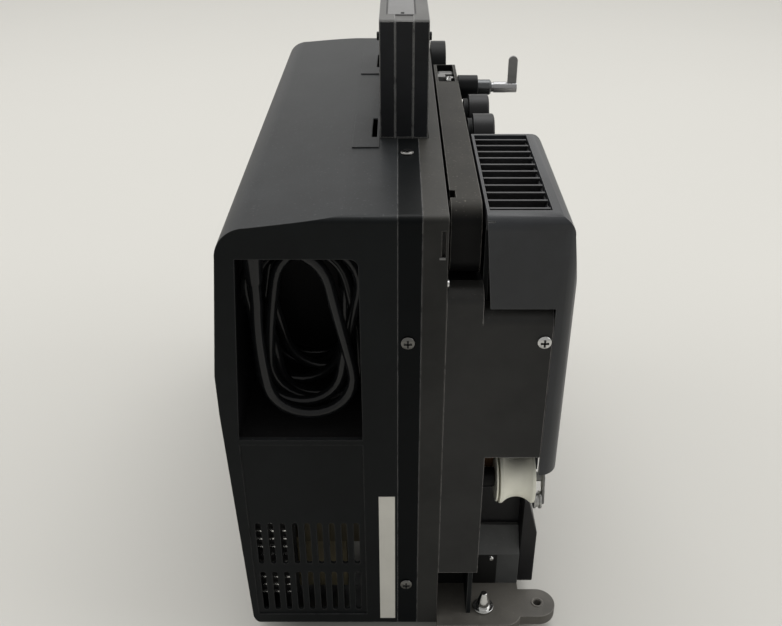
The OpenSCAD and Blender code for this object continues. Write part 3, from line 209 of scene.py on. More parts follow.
dustAndSheenLayer = {"slopeFrom": 0.35, "slopeTo": 0.95, "driftScale": 38, "thin": 0.22, "thick": 0.38,
          "speckFrom": 0.66, "speckTo": 0.74}


# dust on upward faces that also stands in for painted sheen: it makes tops lighter, as the light's sheen
# would
def makeDustAndSheenGroup():
    tree, given, result = newGroup("dustAndPaintedSheen", {"Amount": 0.3, "Speck Scale": 700}, ["Mask"])
    coords = addNode(tree, "ShaderNodeTexCoord")
    up = addNode(tree, "ShaderNodeSeparateXYZ", {0: coords.outputs["Normal"]}).outputs["Z"]
    place = coords.outputs["Object"]
    lies = rampNode(tree, up, dustAndSheenLayer["slopeFrom"], dustAndSheenLayer["slopeTo"])
    drift = noiseNode(tree, place, dustAndSheenLayer["driftScale"], 6.0, 0.66)
    layer = {0: drift, 1: 0.3, 2: 0.7, 3: dustAndSheenLayer["thin"], 4: dustAndSheenLayer["thick"]}
    film = firstOut(tree, "ShaderNodeMapRange", layer)
    grit = noiseNode(tree, place, given["Speck Scale"], 1.0)
    specks = rampNode(tree, grit, dustAndSheenLayer["speckFrom"], dustAndSheenLayer["speckTo"])
    both = mathNode(tree, "MAXIMUM", film, specks)
    settled = mathNode(tree, "MULTIPLY", lies, both)
    mask = mathNode(tree, "MULTIPLY", settled, given["Amount"], clamp=True)
    tree.links.new(mask, result["Mask"])
    return tree


grainGroup = makeGrainGroup()
wearAndHighlightGroup = makeWearAndHighlightGroup()
dustAndSheenGroup = makeDustAndSheenGroup()


def useGroup(tree, group, **values):
    node = addNode(tree, "ShaderNodeGroup", node_tree=group)
    for label, value in values.items():
        node.inputs[label.replace("_", " ")].default_value = value
    return node.outputs


# Finishes: base colour, how far it drifts, gloss, grain in bumps per metre and metres deep,
# wear and painted edge highlight, and dust and painted sheen on upward faces, as amount and colour; leftOf
# gives the other colour to the left of a place across

surface = {"blotchScale": 16, "shine": 0.28, "wearAndHighlightRadius": 0.0008, "bumpStrength": 0.8,
           "roughSpread": 0.24, "roughLow": 0.88, "dustAndSheenRough": 0.35}
finishes = {
    "coverPlastic": {
        "colour": (0.0035, 0.0046, 0.0052), "drift": 0.25, "rough": 0.40, "shine": 0.13,
        "grain": (2100, 0.00004), "wearAndHighlight": (0.5, (0.08, 0.08, 0.08)),
        "dustAndSheen": (0.19, (0.29, 0.30, 0.31)),
    },
    "bandPlastic": {
        "colour": (0.0016, 0.0024, 0.0030), "drift": 0.2, "rough": 0.34, "shine": 0.08,
        "grain": (1600, 0.00002), "wearAndHighlight": (1.0, (0.20, 0.20, 0.20)),
        "dustAndSheen": (0.05, (0.30, 0.30, 0.28)),
    },
    "framePaint": {
        "colour": (0.017, 0.017, 0.016), "drift": 0.35, "rough": 0.48, "shine": 0.20,
        "grain": (1300, 0.00006), "wearAndHighlight": (0.7, (0.20, 0.19, 0.18)),
        "dustAndSheen": (0.20, (0.36, 0.34, 0.29)),
    },
    "armPaint": {
        "colour": (0.006, 0.006, 0.006), "drift": 0.35, "rough": 0.46, "shine": 0.10,
        "grain": (1400, 0.00005), "wearAndHighlight": (0.7, (0.24, 0.23, 0.21)),
        "dustAndSheen": (0.26, (0.36, 0.34, 0.29)),
    },
    "lamphousePaint": {
        "colour": (0.0168, 0.0188, 0.0222), "drift": 0.3, "rough": 0.40, "shine": 0.45,
        "wearAndHighlightRadius": 0.0004, "grain": (1900, 0.00007), "wearAndHighlight": (0.7, (0.22, 0.22, 0.22)),
        "dustAndSheen": (0.05, (0.32, 0.31, 0.29)),
    },
    "panelPaint": {
        "colour": (0.016, 0.016, 0.0155), "drift": 0.3, "rough": 0.52, "shine": 0.28,
        "grain": (1500, 0.00006), "wearAndHighlight": (0.9, (0.28, 0.27, 0.26)),
        "dustAndSheen": (0.14, (0.32, 0.31, 0.28)),
    },
    "basePaint": {
        "colour": (0.088, 0.083, 0.074), "drift": 0.4, "rough": 0.5, "shine": 0.24,
        "grain": (1100, 0.00008), "wearAndHighlight": (0.8, (0.34, 0.32, 0.29)),
        "dustAndSheen": (0.20, (0.30, 0.29, 0.26)),
    },
    "plateBlack": {
        "colour": (0.006, 0.007, 0.0075), "drift": 0.3, "rough": 0.5, "shine": 0.14,
        "grain": (1300, 0.00005), "wearAndHighlight": (0.5, (0.16, 0.16, 0.16)),
        "dustAndSheen": (0.06, (0.30, 0.29, 0.27)),
    },
    "bayLiner": {
        "colour": (0.008, 0.008, 0.009), "drift": 0.3, "rough": 0.6, "grain": (1500, 0.00005),
        "dustAndSheen": (0.10, (0.22, 0.21, 0.20)),
    },
    "knobPlastic": {
        "colour": (0.010, 0.010, 0.011), "drift": 0.25, "rough": 0.4, "grain": (1800, 0.00003),
        "wearAndHighlight": (0.4, (0.16, 0.16, 0.16)), "dustAndSheen": (0.05, (0.30, 0.29, 0.27)),
    },
    "bearingBlack": {
        "colour": (0.005, 0.0055, 0.006), "drift": 0.2, "rough": 0.34, "grain": (1500, 0.00002),
        "shine": 0.14, "wearAndHighlight": (0.3, (0.14, 0.14, 0.14)),
    },
    "handleCrinkle": {
        "colour": (0.008, 0.009, 0.011), "drift": 0.35, "rough": 0.46, "grain": (900, 0.00022),
        "wearAndHighlight": (0.9, (0.42, 0.42, 0.41)), "wearAndHighlightRadius": 0.0004, "dustAndSheen": (0.2, (0.32, 0.31, 0.29)),
    },
    "handleGrey": {
        "colour": (0.085, 0.085, 0.083), "drift": 0.3, "rough": 0.45, "metal": 0.3,
        "grain": (1500, 0.00005), "wearAndHighlight": (0.8, (0.45, 0.45, 0.44)),
        "dustAndSheen": (0.25, (0.30, 0.29, 0.26)),
    },
    "labelWhite": {
        "colour": (0.60, 0.59, 0.54), "drift": 0.06, "rough": 0.4, "grain": (500, 0.00001),
    },
    # black for real black parts, and painted shade where it fills screw recesses, grooves and gaps
    "blackAndPaintedShade": {
        "colour": (0.006, 0.006, 0.006), "drift": 0.2, "rough": 0.5, "grain": (900, 0.00002),
    },
    "tinnedTag": {
        "colour": (0.92, 0.92, 0.90), "drift": 0.06, "rough": 0.22, "metal": 0.9,
        "grain": (900, 0.00002),
    },
    "hubBlack": {
        "colour": (0.006, 0.0065, 0.007), "drift": 0.25, "rough": 0.42, "shine": 0.12,
        "grain": (1800, 0.00003), "wearAndHighlight": (0.3, (0.14, 0.14, 0.14)),
        "dustAndSheen": (0.04, (0.30, 0.29, 0.27)),
    },
    "grilleBlack": {
        "colour": (0.036, 0.036, 0.039), "drift": 0.25, "rough": 0.42, "grain": (1900, 0.00004),
        "wearAndHighlight": (0.4, (0.16, 0.16, 0.16)), "dustAndSheen": (0.08, (0.30, 0.29, 0.27)),
    },
    "inlayMetal": {
        "colour": (0.17, 0.17, 0.17), "drift": 0.15, "rough": 0.42, "metal": 0.7,
        "grain": (2400, 0.00001), "dustAndSheen": (0.18, (0.42, 0.41, 0.38)),
    },
    "rubber": {
        "colour": (0.012, 0.012, 0.012), "drift": 0.3, "rough": 0.72, "grain": (1200, 0.00006),
        "dustAndSheen": (0.2, (0.20, 0.19, 0.18)),
    },
    "chrome": {
        "colour": (0.62, 0.62, 0.61), "drift": 0.12, "rough": 0.16, "metal": 1.0,
        "grain": (600, 0.000004),
    },
    "screwSteel": {   # heads beside the seam, left of the border, get a darker colour
        "colour": (0.62, 0.62, 0.61), "drift": 0.12, "rough": 0.22, "metal": 1.0,
        "grain": (600, 0.000004), "leftOf": (30.0, (0.15, 0.147, 0.14)),
    },
    "spindleSteel": {
        "colour": (0.32, 0.32, 0.325), "drift": 0.2, "rough": 0.26, "metal": 1.0,
        "grain": (900, 0.00001),
    },
    "reelSteel": {   # the hub behind the reel, left of the border, gets a darker colour
        "colour": (0.34, 0.34, 0.345), "drift": 0.2, "rough": 0.26, "metal": 1.0,
        "grain": (900, 0.00001), "leftOf": (69.5, (0.11, 0.114, 0.117)),
    },
    "tabSteel": {
        "colour": (0.21, 0.21, 0.21), "drift": 0.3, "rough": 0.42, "metal": 0.9,
        "grain": (1400, 0.00003), "wearAndHighlight": (0.5, (0.5, 0.5, 0.5)),
    },
    "filmSteel": {
        "colour": (0.42, 0.42, 0.41), "drift": 0.2, "rough": 0.3, "metal": 1.0,
        "grain": (1200, 0.00002),
    },
    "blockGrey": {
        "colour": (0.20, 0.20, 0.195), "drift": 0.3, "rough": 0.45, "metal": 0.5,
        "grain": (1200, 0.00004), "wearAndHighlight": (0.4, (0.45, 0.45, 0.44)),
    },
    "sillGrey": {
        "colour": (0.060, 0.062, 0.062), "drift": 0.25, "rough": 0.42, "grain": (1400, 0.00003),
        "wearAndHighlight": (0.4, (0.2, 0.2, 0.2)), "dustAndSheen": (0.2, (0.32, 0.31, 0.28)),
    },
    "nylon": {
        "colour": (0.88, 0.87, 0.76), "drift": 0.12, "rough": 0.36, "grain": (500, 0.00002),
    },
    "lensBlack": {
        "colour": (0.010, 0.010, 0.011), "drift": 0.2, "rough": 0.3, "metal": 0.3,
        "grain": (1500, 0.00002), "wearAndHighlight": (0.6, (0.35, 0.35, 0.34)),
    },
    "ceramic": {
        "colour": (0.62, 0.60, 0.54), "drift": 0.15, "rough": 0.55, "grain": (700, 0.00004),
    },
    "mirrorCoat": {
        "colour": (0.80, 0.80, 0.78), "drift": 0.05, "rough": 0.08, "metal": 1.0,
        "grain": (200, 0.000003),
    },
    "zinc": {
        "colour": (0.34, 0.35, 0.36), "drift": 0.3, "rough": 0.42, "metal": 1.0,
        "grain": (300, 0.00002),
    },
    "coreSteel": {
        "colour": (0.40, 0.40, 0.39), "drift": 0.35, "rough": 0.38, "metal": 1.0,
        "grain": (900, 0.00003),
    },
    "coilPaper": {
        "colour": (0.15, 0.13, 0.08), "drift": 0.3, "rough": 0.6, "grain": (800, 0.00005),
    },
    "boardBrown": {
        "colour": (0.07, 0.060, 0.034), "drift": 0.35, "rough": 0.45, "grain": (700, 0.00003),
    },
    "motorGrey": {
        "colour": (0.16, 0.17, 0.18), "drift": 0.25, "rough": 0.4, "metal": 0.4,
        "grain": (900, 0.00003),
    },
    "leadSheath": {
        "colour": (0.008, 0.0085, 0.0095), "drift": 0.3, "rough": 0.2, "shine": 0.3,
        "grain": (420, 0.00002),
    },
    "stripBrown": {
        "colour": (0.12, 0.066, 0.036), "drift": 0.3, "rough": 0.4, "grain": (700, 0.00003),
        "wearAndHighlight": (0.9, (0.42, 0.30, 0.18)),
    },
    "postSteel": {   # only the arm outside the roller is bare
        "colour": (0.20, 0.20, 0.195), "drift": 0.3, "rough": 0.45, "metal": 0.5,
        "grain": (1200, 0.00004), "leftOf": (86.0, (0.006, 0.006, 0.006)),
    },
}


def makeFinish(name, look):
    finish = bpy.data.materials.new(name)
    finish.use_nodes = True
    tree = finish.node_tree
    shader = tree.nodes["Principled BSDF"]
    grainScale, grainDepth = look["grain"]
    grain = useGroup(tree, grainGroup, Grain_Scale=grainScale, Blotch_Scale=surface["blotchScale"])
    pale = tuple(channel * (1 + look["drift"]) for channel in look["colour"])
    deep = tuple(channel * (1 - look["drift"]) for channel in look["colour"])
    colour = mixColour(tree, rampNode(tree, grain["Blotch"], 0.3, 0.7), deep, pale)
    spread, low = look["rough"] * surface["roughSpread"], look["rough"] * surface["roughLow"]
    rough = mathNode(tree, "MULTIPLY_ADD", grain["Blotch"], spread, low)
    if "leftOf" in look:
        border, other = look["leftOf"]
        place = addNode(tree, "ShaderNodeTexCoord").outputs["Object"]
        across = addNode(tree, "ShaderNodeSeparateXYZ", {0: place}).outputs["X"]
        beside = mathNode(tree, "LESS_THAN", across, spot(border, 0, 0).x)
        colour = mixColour(tree, beside, colour, other)
    # wear and painted edge highlight: edges are lightened towards the given colour
    if "wearAndHighlight" in look:
        amount, wornAndLitColour = look["wearAndHighlight"]
        radius = look.get("wearAndHighlightRadius", surface["wearAndHighlightRadius"])
        wornAndLit = useGroup(tree, wearAndHighlightGroup, Amount=amount, Radius=radius)["Mask"]
        colour = mixColour(tree, wornAndLit, colour, wornAndLitColour)
    # dust and painted sheen: upward faces are lightened towards the given colour
    if "dustAndSheen" in look:
        amount, dustAndSheenColour = look["dustAndSheen"]
        dustAndSheen = useGroup(tree, dustAndSheenGroup, Amount=amount)["Mask"]
        colour = mixColour(tree, dustAndSheen, colour, dustAndSheenColour)
        rough = mathNode(tree, "MULTIPLY_ADD", dustAndSheen, surface["dustAndSheenRough"], look["rough"])
    tree.links.new(colour, shader.inputs["Base Color"])
    tree.links.new(rough, shader.inputs["Roughness"])
    shader.inputs["Metallic"].default_value = look.get("metal", 0.0)
    shader.inputs["Specular IOR Level"].default_value = look.get("shine", surface["shine"])
    relief = {"Height": grain["Height"], "Distance": grainDepth, "Strength": surface["bumpStrength"]}
    bump = addNode(tree, "ShaderNodeBump", relief)
    tree.links.new(bump.outputs["Normal"], shader.inputs["Normal"])
    return finish


looks = {name: makeFinish(name, look) for name, look in finishes.items()}


def makeGlass(name, tint):
    glass = bpy.data.materials.new(name)
    glass.use_nodes = True
    tree = glass.node_tree
    shader = tree.nodes["Principled BSDF"]
    shader.inputs["Transmission Weight"].default_value = 1.0
    shader.inputs["IOR"].default_value = 1.52
    grain = useGroup(tree, grainGroup, Grain_Scale=300, Blotch_Scale=40)
    clear = mixColour(tree, grain["Blotch"], tint, (0.96, 0.97, 0.96))
    tree.links.new(clear, shader.inputs["Base Color"])
    tree.links.new(mathNode(tree, "MULTIPLY", grain["Blotch"], 0.08), shader.inputs["Roughness"])
    return glass


looks["lensGlass"] = makeGlass("lensGlass", (0.78, 0.84, 0.92))
looks["lampGlass"] = makeGlass("lampGlass", (0.93, 0.93, 0.90))
print("finishes made:", len(looks))

nodeFinish = {
    "left_cover": "coverPlastic", "guide_plates": "coverPlastic", "cover_band": "bandPlastic",
    "main_frame": "framePaint", "film_plate": "plateBlack", "gate_block": "framePaint",
    "lens_holder": "framePaint", "case_screws": "screwSteel", "lid_pins": "chrome",
    "keeper_roller": "filmSteel", "sill_screw": "tinnedTag", "cord_box": "bayLiner",
    "sill_panel": "sillGrey", "sound_cover": "knobPlastic", "rear_panel": "panelPaint",
    "cord_gland": "leadSheath", "mains_plug": "leadSheath", "mains_cord": "leadSheath",
    "chassis_tray": "zinc", "transformer_core": "coreSteel", "transformer_coil": "coilPaper",
    "amplifier_board": "boardBrown", "motor_body": "motorGrey", "motor_rotor": "spindleSteel",
    "base_plate": "basePaint", "rubber_feet": "rubber", "drive_belt": "rubber",
    "lamphouse_cover": "lamphousePaint", "louvre_grille": "grilleBlack", "lamp_socket": "ceramic",
    "projection_lamp": "lampGlass", "lamp_reflector": "mirrorCoat", "condenser_lens": "lensGlass",
    "lens_glass": "lensGlass", "shutter_disc": "lensBlack", "aperture_plate": "filmSteel",
    "pressure_plate": "filmSteel", "lens_barrel": "lensBlack", "focus_knob": "knobPlastic",
    "upper_sprocket": "filmSteel", "lower_sprocket": "filmSteel", "sound_drum": "spindleSteel",
    "guide_roller": "nylon", "roller_post": "postSteel", "function_knob": "knobPlastic",
    "volume_knob": "knobPlastic", "arm_pivots": "spindleSteel", "rear_arm": "armPaint",
    "front_arm": "hubBlack", "spindle_block": "blockGrey", "rear_spindle_bearing": "bearingBlack",
    "front_spindle_bearing": "bearingBlack", "rear_spindle": "reelSteel",
    "front_spindle": "reelSteel", "rear_lock_tab": "tabSteel", "front_lock_tab": "tabSteel",
    "handle_core": "handleGrey", "handle_cheeks": "handleGrey", "handle_inlay": "inlayMetal",
    "handle_pins": "bearingBlack",
}
edgeRound = {"default": 0.0004, "left_cover": 0.0010, "lamphouse_cover": 0.0008, "main_frame": 0.0006,
             "cover_band": 0.0006, "rear_arm": 0.0007, "front_arm": 0.0030, "handle_cheeks": 0.0008,
             "base_plate": 0.0008, "rear_panel": 0.0006, "sound_cover": 0.0008}


def softenEdges(piece, width):
    weld = piece.modifiers.new("joinFaces", "WELD")
    weld.merge_threshold = 0.000005
    flat = piece.modifiers.new("joinFlats", "DECIMATE")
    flat.decimate_type = "DISSOLVE"
    flat.angle_limit = math.radians(0.6)
    bevel = piece.modifiers.new("roundEdges", "BEVEL")
    bevel.width = width
    bevel.segments = 2
    bevel.limit_method = "ANGLE"
    bevel.angle_limit = math.radians(38)
    bevel.use_clamp_overlap = True
    piece.modifiers.new("evenShading", "WEIGHTED_NORMAL")


for name, node in nodes.items():
    node.data.materials.clear()
    node.data.materials.append(looks[nodeFinish[name]])
    softenEdges(node, edgeRound.get(name, edgeRound["default"]))


# Mains lead: stowed in the compartment in loose upright loops

lead = {
    "diameter": 7.0, "bend": 25.0, "run": 56.0, "centre": (-53.0, 14.0, -86.0), "pitch": 9.4,
    "loops": 7, "sway": -4.0, "swayTurn": 112, "bob": 4.0, "bobTurn": 83, "tilt": 12.0,
    "tiltTurn": 150, "endShift": 9.0, "ringsPerLoop": 48, "glandFoot": -45.5,
}


def lapPoint(distance, run, bend):
    arc = math.pi * bend
    if distance < run:
        return -bend, run / 2 - distance
    if distance < run + arc:
        angle = (distance - run) / bend
        return -bend * math.cos(angle), -run / 2 - bend * math.sin(angle)
    if distance < 2 * run + arc:
        return bend, distance - run * 1.5 - arc
    angle = (distance - 2 * run - arc) / bend
    return bend * math.cos(angle), run / 2 + bend * math.sin(angle)


def leadRoute(lay):
    lap = 2 * lay["run"] + 2 * math.pi * lay["bend"]
    turns = lay["loops"] + (lay["run"] + math.pi * lay["bend"]) / lap
    cx, cy, cz = lay["centre"]

    def along(turn):
        x, z = lapPoint((turn - math.floor(turn)) * lap, lay["run"], lay["bend"])
        late = min(max(turn - turns + 1, 0), 1)
        ease = late * late * (3 - 2 * late)
        sway = lay["sway"] * math.sin(math.radians(lay["swayTurn"] * turn))
        bob = lay["bob"] * math.sin(math.radians(lay["bobTurn"] * turn))
        tilt = math.radians(lay["tilt"] * math.sin(math.radians(lay["tiltTurn"] * turn)))
        leanX = x * math.cos(tilt) - z * math.sin(tilt)
        leanZ = x * math.sin(tilt) + z * math.cos(tilt)
        deep = cy + lay["pitch"] * turn + lay["endShift"] * ease
        return Vector((cx + leanX + sway, deep, cz + leanZ + bob))

    startX = cx - lay["bend"]
    d = lay["diameter"]
    rings = math.floor(turns * lay["ringsPerLoop"])
    last = along(turns)
    route = [Vector((startX, cy, lay["glandFoot"])), Vector((startX, cy, lay["glandFoot"] - d))]
    route += [along(i / lay["ringsPerLoop"]) for i in range(rings + 1)]
    route += [last, last + Vector((0, 0, d)), last + Vector((0, 0, 2 * d))]
    return [spot(*point) for point in route]


def makeLead(lay):
    route = leadRoute(lay)
    curve = bpy.data.curves.new("mainsLead", "CURVE")
    curve.dimensions = "3D"
    curve.bevel_depth = lay["diameter"] * mm / 2
    curve.bevel_resolution = 4
    curve.use_fill_caps = True
    line = curve.splines.new("POLY")
    line.points.add(len(route) - 1)
    for point, place in zip(line.points, route):
        point.co = (*place, 1)
    cord = bpy.data.objects.new("mainsLead", curve)
    bpy.context.scene.collection.objects.link(cord)
    curve.materials.append(looks["leadSheath"])
    length = sum((b - a).length for a, b in zip(route, route[1:]))
    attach(cord, "chassis")
    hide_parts("mains_cord")
    return cord, length


mainsLead, leadLength = makeLead(lead)
print("mains lead laid:", round(leadLength, 3), "m")


# Geometry Nodes: named sizes in, one plain mesh out

def newGeometryTree(name, inputs):
    tree = bpy.data.node_groups.new(name, "GeometryNodeTree")
    tree.interface.new_socket(name="Geometry", in_out="INPUT", socket_type="NodeSocketGeometry")
    for label, (kind, value) in inputs.items():
        socket = tree.interface.new_socket(name=label, in_out="INPUT", socket_type="NodeSocket" + kind)
        socket.default_value = value
    tree.interface.new_socket(name="Finish", in_out="INPUT", socket_type="NodeSocketMaterial")
    tree.interface.new_socket(name="Geometry", in_out="OUTPUT", socket_type="NodeSocketGeometry")
    return tree, addNode(tree, "NodeGroupInput").outputs, addNode(tree, "NodeGroupOutput").inputs


def closeTree(tree, given, result, instances):
    plain = firstOut(tree, "GeometryNodeRealizeInstances", {"Geometry": instances})
    sockets = {"Geometry": plain, "Material": given["Finish"]}
    tree.links.new(firstOut(tree, "GeometryNodeSetMaterial", sockets), result["Geometry"])
    return tree


def facingRotation(tree):
    facing = firstOut(tree, "GeometryNodeInputNamedAttribute", {"Name": "facing"}, data_type="FLOAT_VECTOR")
    return firstOut(tree, "FunctionNodeAlignRotationToVector", {"Vector": facing}, axis="Z")


def sizeScale(tree):
    return firstOut(tree, "GeometryNodeInputNamedAttribute", {"Name": "size"}, data_type="FLOAT")


def onEachPoint(tree, given, shape):
    sockets = {"Points": given["Geometry"], "Instance": shape, "Rotation": facingRotation(tree),
               "Scale": sizeScale(tree)}
    return firstOut(tree, "GeometryNodeInstanceOnPoints", sockets)


def makeCrossTree():
    sizes = {"Arm": ("Float", 0.0022), "Bar": ("Float", 0.0007), "Deep": ("Float", 0.0005)}
    tree, given, result = newGeometryTree("crossRecess", sizes)
    span = mathNode(tree, "MULTIPLY", given["Arm"], 2.0)
    bars = addNode(tree, "GeometryNodeJoinGeometry")
    for across in ((span, given["Bar"]), (given["Bar"], span)):
        sides = {"X": across[0], "Y": across[1], "Z": given["Deep"]}
        size = firstOut(tree, "ShaderNodeCombineXYZ", sides)
        tree.links.new(firstOut(tree, "GeometryNodeMeshCube", {"Size": size}), bars.inputs[0])
    return closeTree(tree, given, result, onEachPoint(tree, given, bars.outputs[0]))


def makeHeadTree():
    sizes = {"Radius": ("Float", 0.003), "Height": ("Float", 0.0016), "Edge": ("Float", 0.0006)}
    tree, given, result = newGeometryTree("panHeads", sizes)
    top = mathNode(tree, "SUBTRACT", given["Radius"], given["Edge"])
    sides = {"Vertices": 28, "Radius Top": top, "Radius Bottom": given["Radius"], "Depth": given["Height"]}
    head = firstOut(tree, "GeometryNodeMeshCone", sides)
    return closeTree(tree, given, result, onEachPoint(tree, given, head))


def makeRibTree():
    sizes = {"Count": ("Int", 40), "Radius": ("Float", 0.01),
             "Rib Size": ("Vector", (0.001, 0.001, 0.004)),
             "Centre": ("Vector", (0, 0, 0)), "Turn": ("Vector", (0, 0, 0))}
    tree, given, result = newGeometryTree("ribRing", sizes)
    circle = {"Vertices": given["Count"], "Radius": given["Radius"]}
    ring = firstOut(tree, "GeometryNodeMeshCircle", circle)
    outward = firstOut(tree, "GeometryNodeInputPosition")
    rotation = firstOut(tree, "FunctionNodeAlignRotationToVector", {"Vector": outward}, axis="X")
    rib = firstOut(tree, "GeometryNodeMeshCube", {"Size": given["Rib Size"]})
    sockets = {"Points": ring, "Instance": rib, "Rotation": rotation}
    ribs = firstOut(tree, "GeometryNodeInstanceOnPoints", sockets)
    sockets = {"Geometry": ribs, "Translation": given["Centre"], "Rotation": given["Turn"]}
    return closeTree(tree, given, result, firstOut(tree, "GeometryNodeTransform", sockets))


def makeTagTree():
    sizes = {"Columns": ("Int", 3), "Rows": ("Int", 10), "Width": ("Float", 0.016),
             "Height": ("Float", 0.07), "Tag Size": ("Vector", (0.004, 0.003, 0.001)),
             "Centre": ("Vector", (0, 0, 0)), "Seed": ("Int", 5)}
    tree, given, result = newGeometryTree("tagRows", sizes)
    sockets = {"Size X": given["Width"], "Size Y": given["Height"],
               "Vertices X": given["Columns"], "Vertices Y": given["Rows"]}
    grid = firstOut(tree, "GeometryNodeMeshGrid", sockets)
    sockets = {"Geometry": grid, "Translation": given["Centre"], "Rotation": (math.pi / 2, 0, 0)}
    upright = firstOut(tree, "GeometryNodeTransform", sockets)
    tag = firstOut(tree, "GeometryNodeMeshCube", {"Size": given["Tag Size"]})
    sockets = {0: (0, -0.22, 0), 1: (0, 0.22, 0), "Seed": given["Seed"]}
    tilt = firstOut(tree, "FunctionNodeRandomValue", sockets, data_type="FLOAT_VECTOR")
    sockets = {0: (0.75, 0.5, 0.8), 1: (1.1, 1.0, 1.2), "Seed": given["Seed"]}
    stretch = firstOut(tree, "FunctionNodeRandomValue", sockets, data_type="FLOAT_VECTOR")
    sockets = {"Points": upright, "Instance": tag, "Rotation": tilt, "Scale": stretch}
    return closeTree(tree, given, result, firstOut(tree, "GeometryNodeInstanceOnPoints", sockets))


crossTree = makeCrossTree()
headTree = makeHeadTree()
ribTree = makeRibTree()
tagTree = makeTagTree()


def pointMesh(name, places):
    mesh = bpy.data.meshes.new(name)
    mesh.from_pydata([spot(*place) for place, facing, size in places], [], [])
    mesh.attributes.new("facing", "FLOAT_VECTOR", "POINT")
    mesh.attributes.new("size", "FLOAT", "POINT")
    for index, (place, facing, size) in enumerate(places):
        mesh.attributes["facing"].data[index].vector = facing
        mesh.attributes["size"].data[index].value = size
    return mesh


def bakeTree(name, tree, values, finish, body, mesh=None):
    piece = bpy.data.objects.new(name, mesh or bpy.data.meshes.new(name))
    bpy.context.scene.collection.objects.link(piece)
    modifier = piece.modifiers.new(name, "NODES")
    modifier.node_group = tree
    sockets = {item.name: item.identifier for item in tree.interface.items_tree
               if item.in_out == "INPUT"}
    for label, value in values.items():
        modifier[sockets[label]] = value
    modifier[sockets["Finish"]] = looks[finish]
    solid = bpy.data.meshes.new_from_object(piece.evaluated_get(bpy.context.evaluated_depsgraph_get()))
    piece.modifiers.remove(modifier)
    piece.data = solid
    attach(piece, body)
    return piece


def addBlocks(name, blocks, finish, body, edge=0.0):
    build = bmesh.new()
    for low, high in blocks:
        low, high = spot(*low), spot(*high)
        middle = Matrix.Translation((low + high) / 2)
        bmesh.ops.create_cube(build, size=1.0, matrix=middle @ Matrix.Diagonal((*(high - low), 1)))
    mesh = bpy.data.meshes.new(name)
    build.to_mesh(mesh)
    build.free()
    piece = bpy.data.objects.new(name, mesh)
    bpy.context.scene.collection.objects.link(piece)
    mesh.materials.append(looks[finish])
    if edge:
        bevel = piece.modifiers.new("roundEdges", "BEVEL")
        bevel.width = edge
        bevel.segments = 2
    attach(piece, body)
    return piece


# Screw recesses and the small screws that the case does not carry

rearward, upward = (0, -1, 0), (0, 0, 1)
recesses = {
    "case": [((5.7, -1.9, -75.5), rearward, 1.0), ((5.7, -1.9, -264.5), rearward, 1.0),
             ((5.7, 90.0, 1.9), upward, 1.0), ((80.7, -1.9, -75.0), rearward, 1.0)],
    "sizes": {"Arm": 2.3 * mm, "Bar": 1.1 * mm, "Deep": 0.5 * mm},
}
# the case screws' cross recesses are black crosses: painted shade in the recesses
bakeTree("screwRecesses", crossTree, recesses["sizes"], "blackAndPaintedShade", "chassis",
         pointMesh("screwRecesses", recesses["case"]))

wellScrew = {"head": ((39.2, 252.5, -3.4), upward, 1.0), "recess": ((39.2, 252.5, -1.95), upward, 0.85),
             "sizes": {"Radius": 3.3 * mm, "Height": 1.6 * mm, "Edge": 0.8 * mm}}
bakeTree("wellScrew", headTree, wellScrew["sizes"], "chrome", "rear_arm",
         pointMesh("wellScrew", [wellScrew["head"]]))
# black cross: painted shade in the well screw's recess
bakeTree("wellScrewRecess", crossTree, recesses["sizes"], "blackAndPaintedShade", "rear_arm",
         pointMesh("wellScrewRecess", [wellScrew["recess"]]))

frameStud = {"place": [((26.5, 4.2, -40.2), (1, 0, 0), 1.0)],
             "sizes": {"Radius": 3.0 * mm, "Height": 1.0 * mm, "Edge": 0.5 * mm}}
bakeTree("frameStud", headTree, frameStud["sizes"], "chrome", "chassis",
         pointMesh("frameStud", frameStud["place"]))

inlayRivets = {"places": [((3.0, 132.5, 71.1), upward, 1.0), ((3.0, 289.5, 71.1), upward, 1.0)],
               "sizes": {"Radius": 1.3 * mm, "Height": 0.6 * mm, "Edge": 0.5 * mm}}
bakeTree("inlayRivets", headTree, inlayRivets["sizes"], "blackAndPaintedShade", "handle",
         pointMesh("inlayRivets", inlayRivets["places"]))
print("screws set")


# Knurls: ribs round the lens barrel and the keeper roller

lensRibs = {"Count": 64, "Radius": 19.0 * mm, "Rib Size": Vector((1.0, 1.0, 16.0)) * mm,
            "Centre": spot(75, 270, -100), "Turn": (math.pi / 2, 0, 0)}
keeperRibs = {"Count": 14, "Radius": 5.4 * mm, "Rib Size": Vector((0.5, 1.2, 1.4)) * mm,
              "Turn": (0, math.pi / 2, 0)}
bakeTree("lensRibs", ribTree, lensRibs, "lensBlack", "lens")
for side, x in (("Inner", 87.35), ("Outer", 90.85)):
    sizes = {**keeperRibs, "Centre": spot(x, 16, -205)}
    bakeTree("keeperRibs" + side, ribTree, sizes, "filmSteel", "keeper_roller")

terminalTags = {"Columns": 3, "Rows": 11, "Width": 17.0 * mm, "Height": 70.0 * mm,
                "Tag Size": Vector((6.2, 1.6, 1.1)) * mm, "Centre": spot(-80, 9, -246), "Seed": 5}
bakeTree("terminalTags", tagTree, terminalTags, "tinnedTag", "chassis")
terminalStrip = [((-94.0, 10.6, -285.0), (-66.0, 12.4, -207.0))]
addBlocks("terminalStrip", terminalStrip, "blackAndPaintedShade", "chassis")
print("knurls and tags made")


# Handle strips, then small strips and plates on the case, the arm and the lamphouse

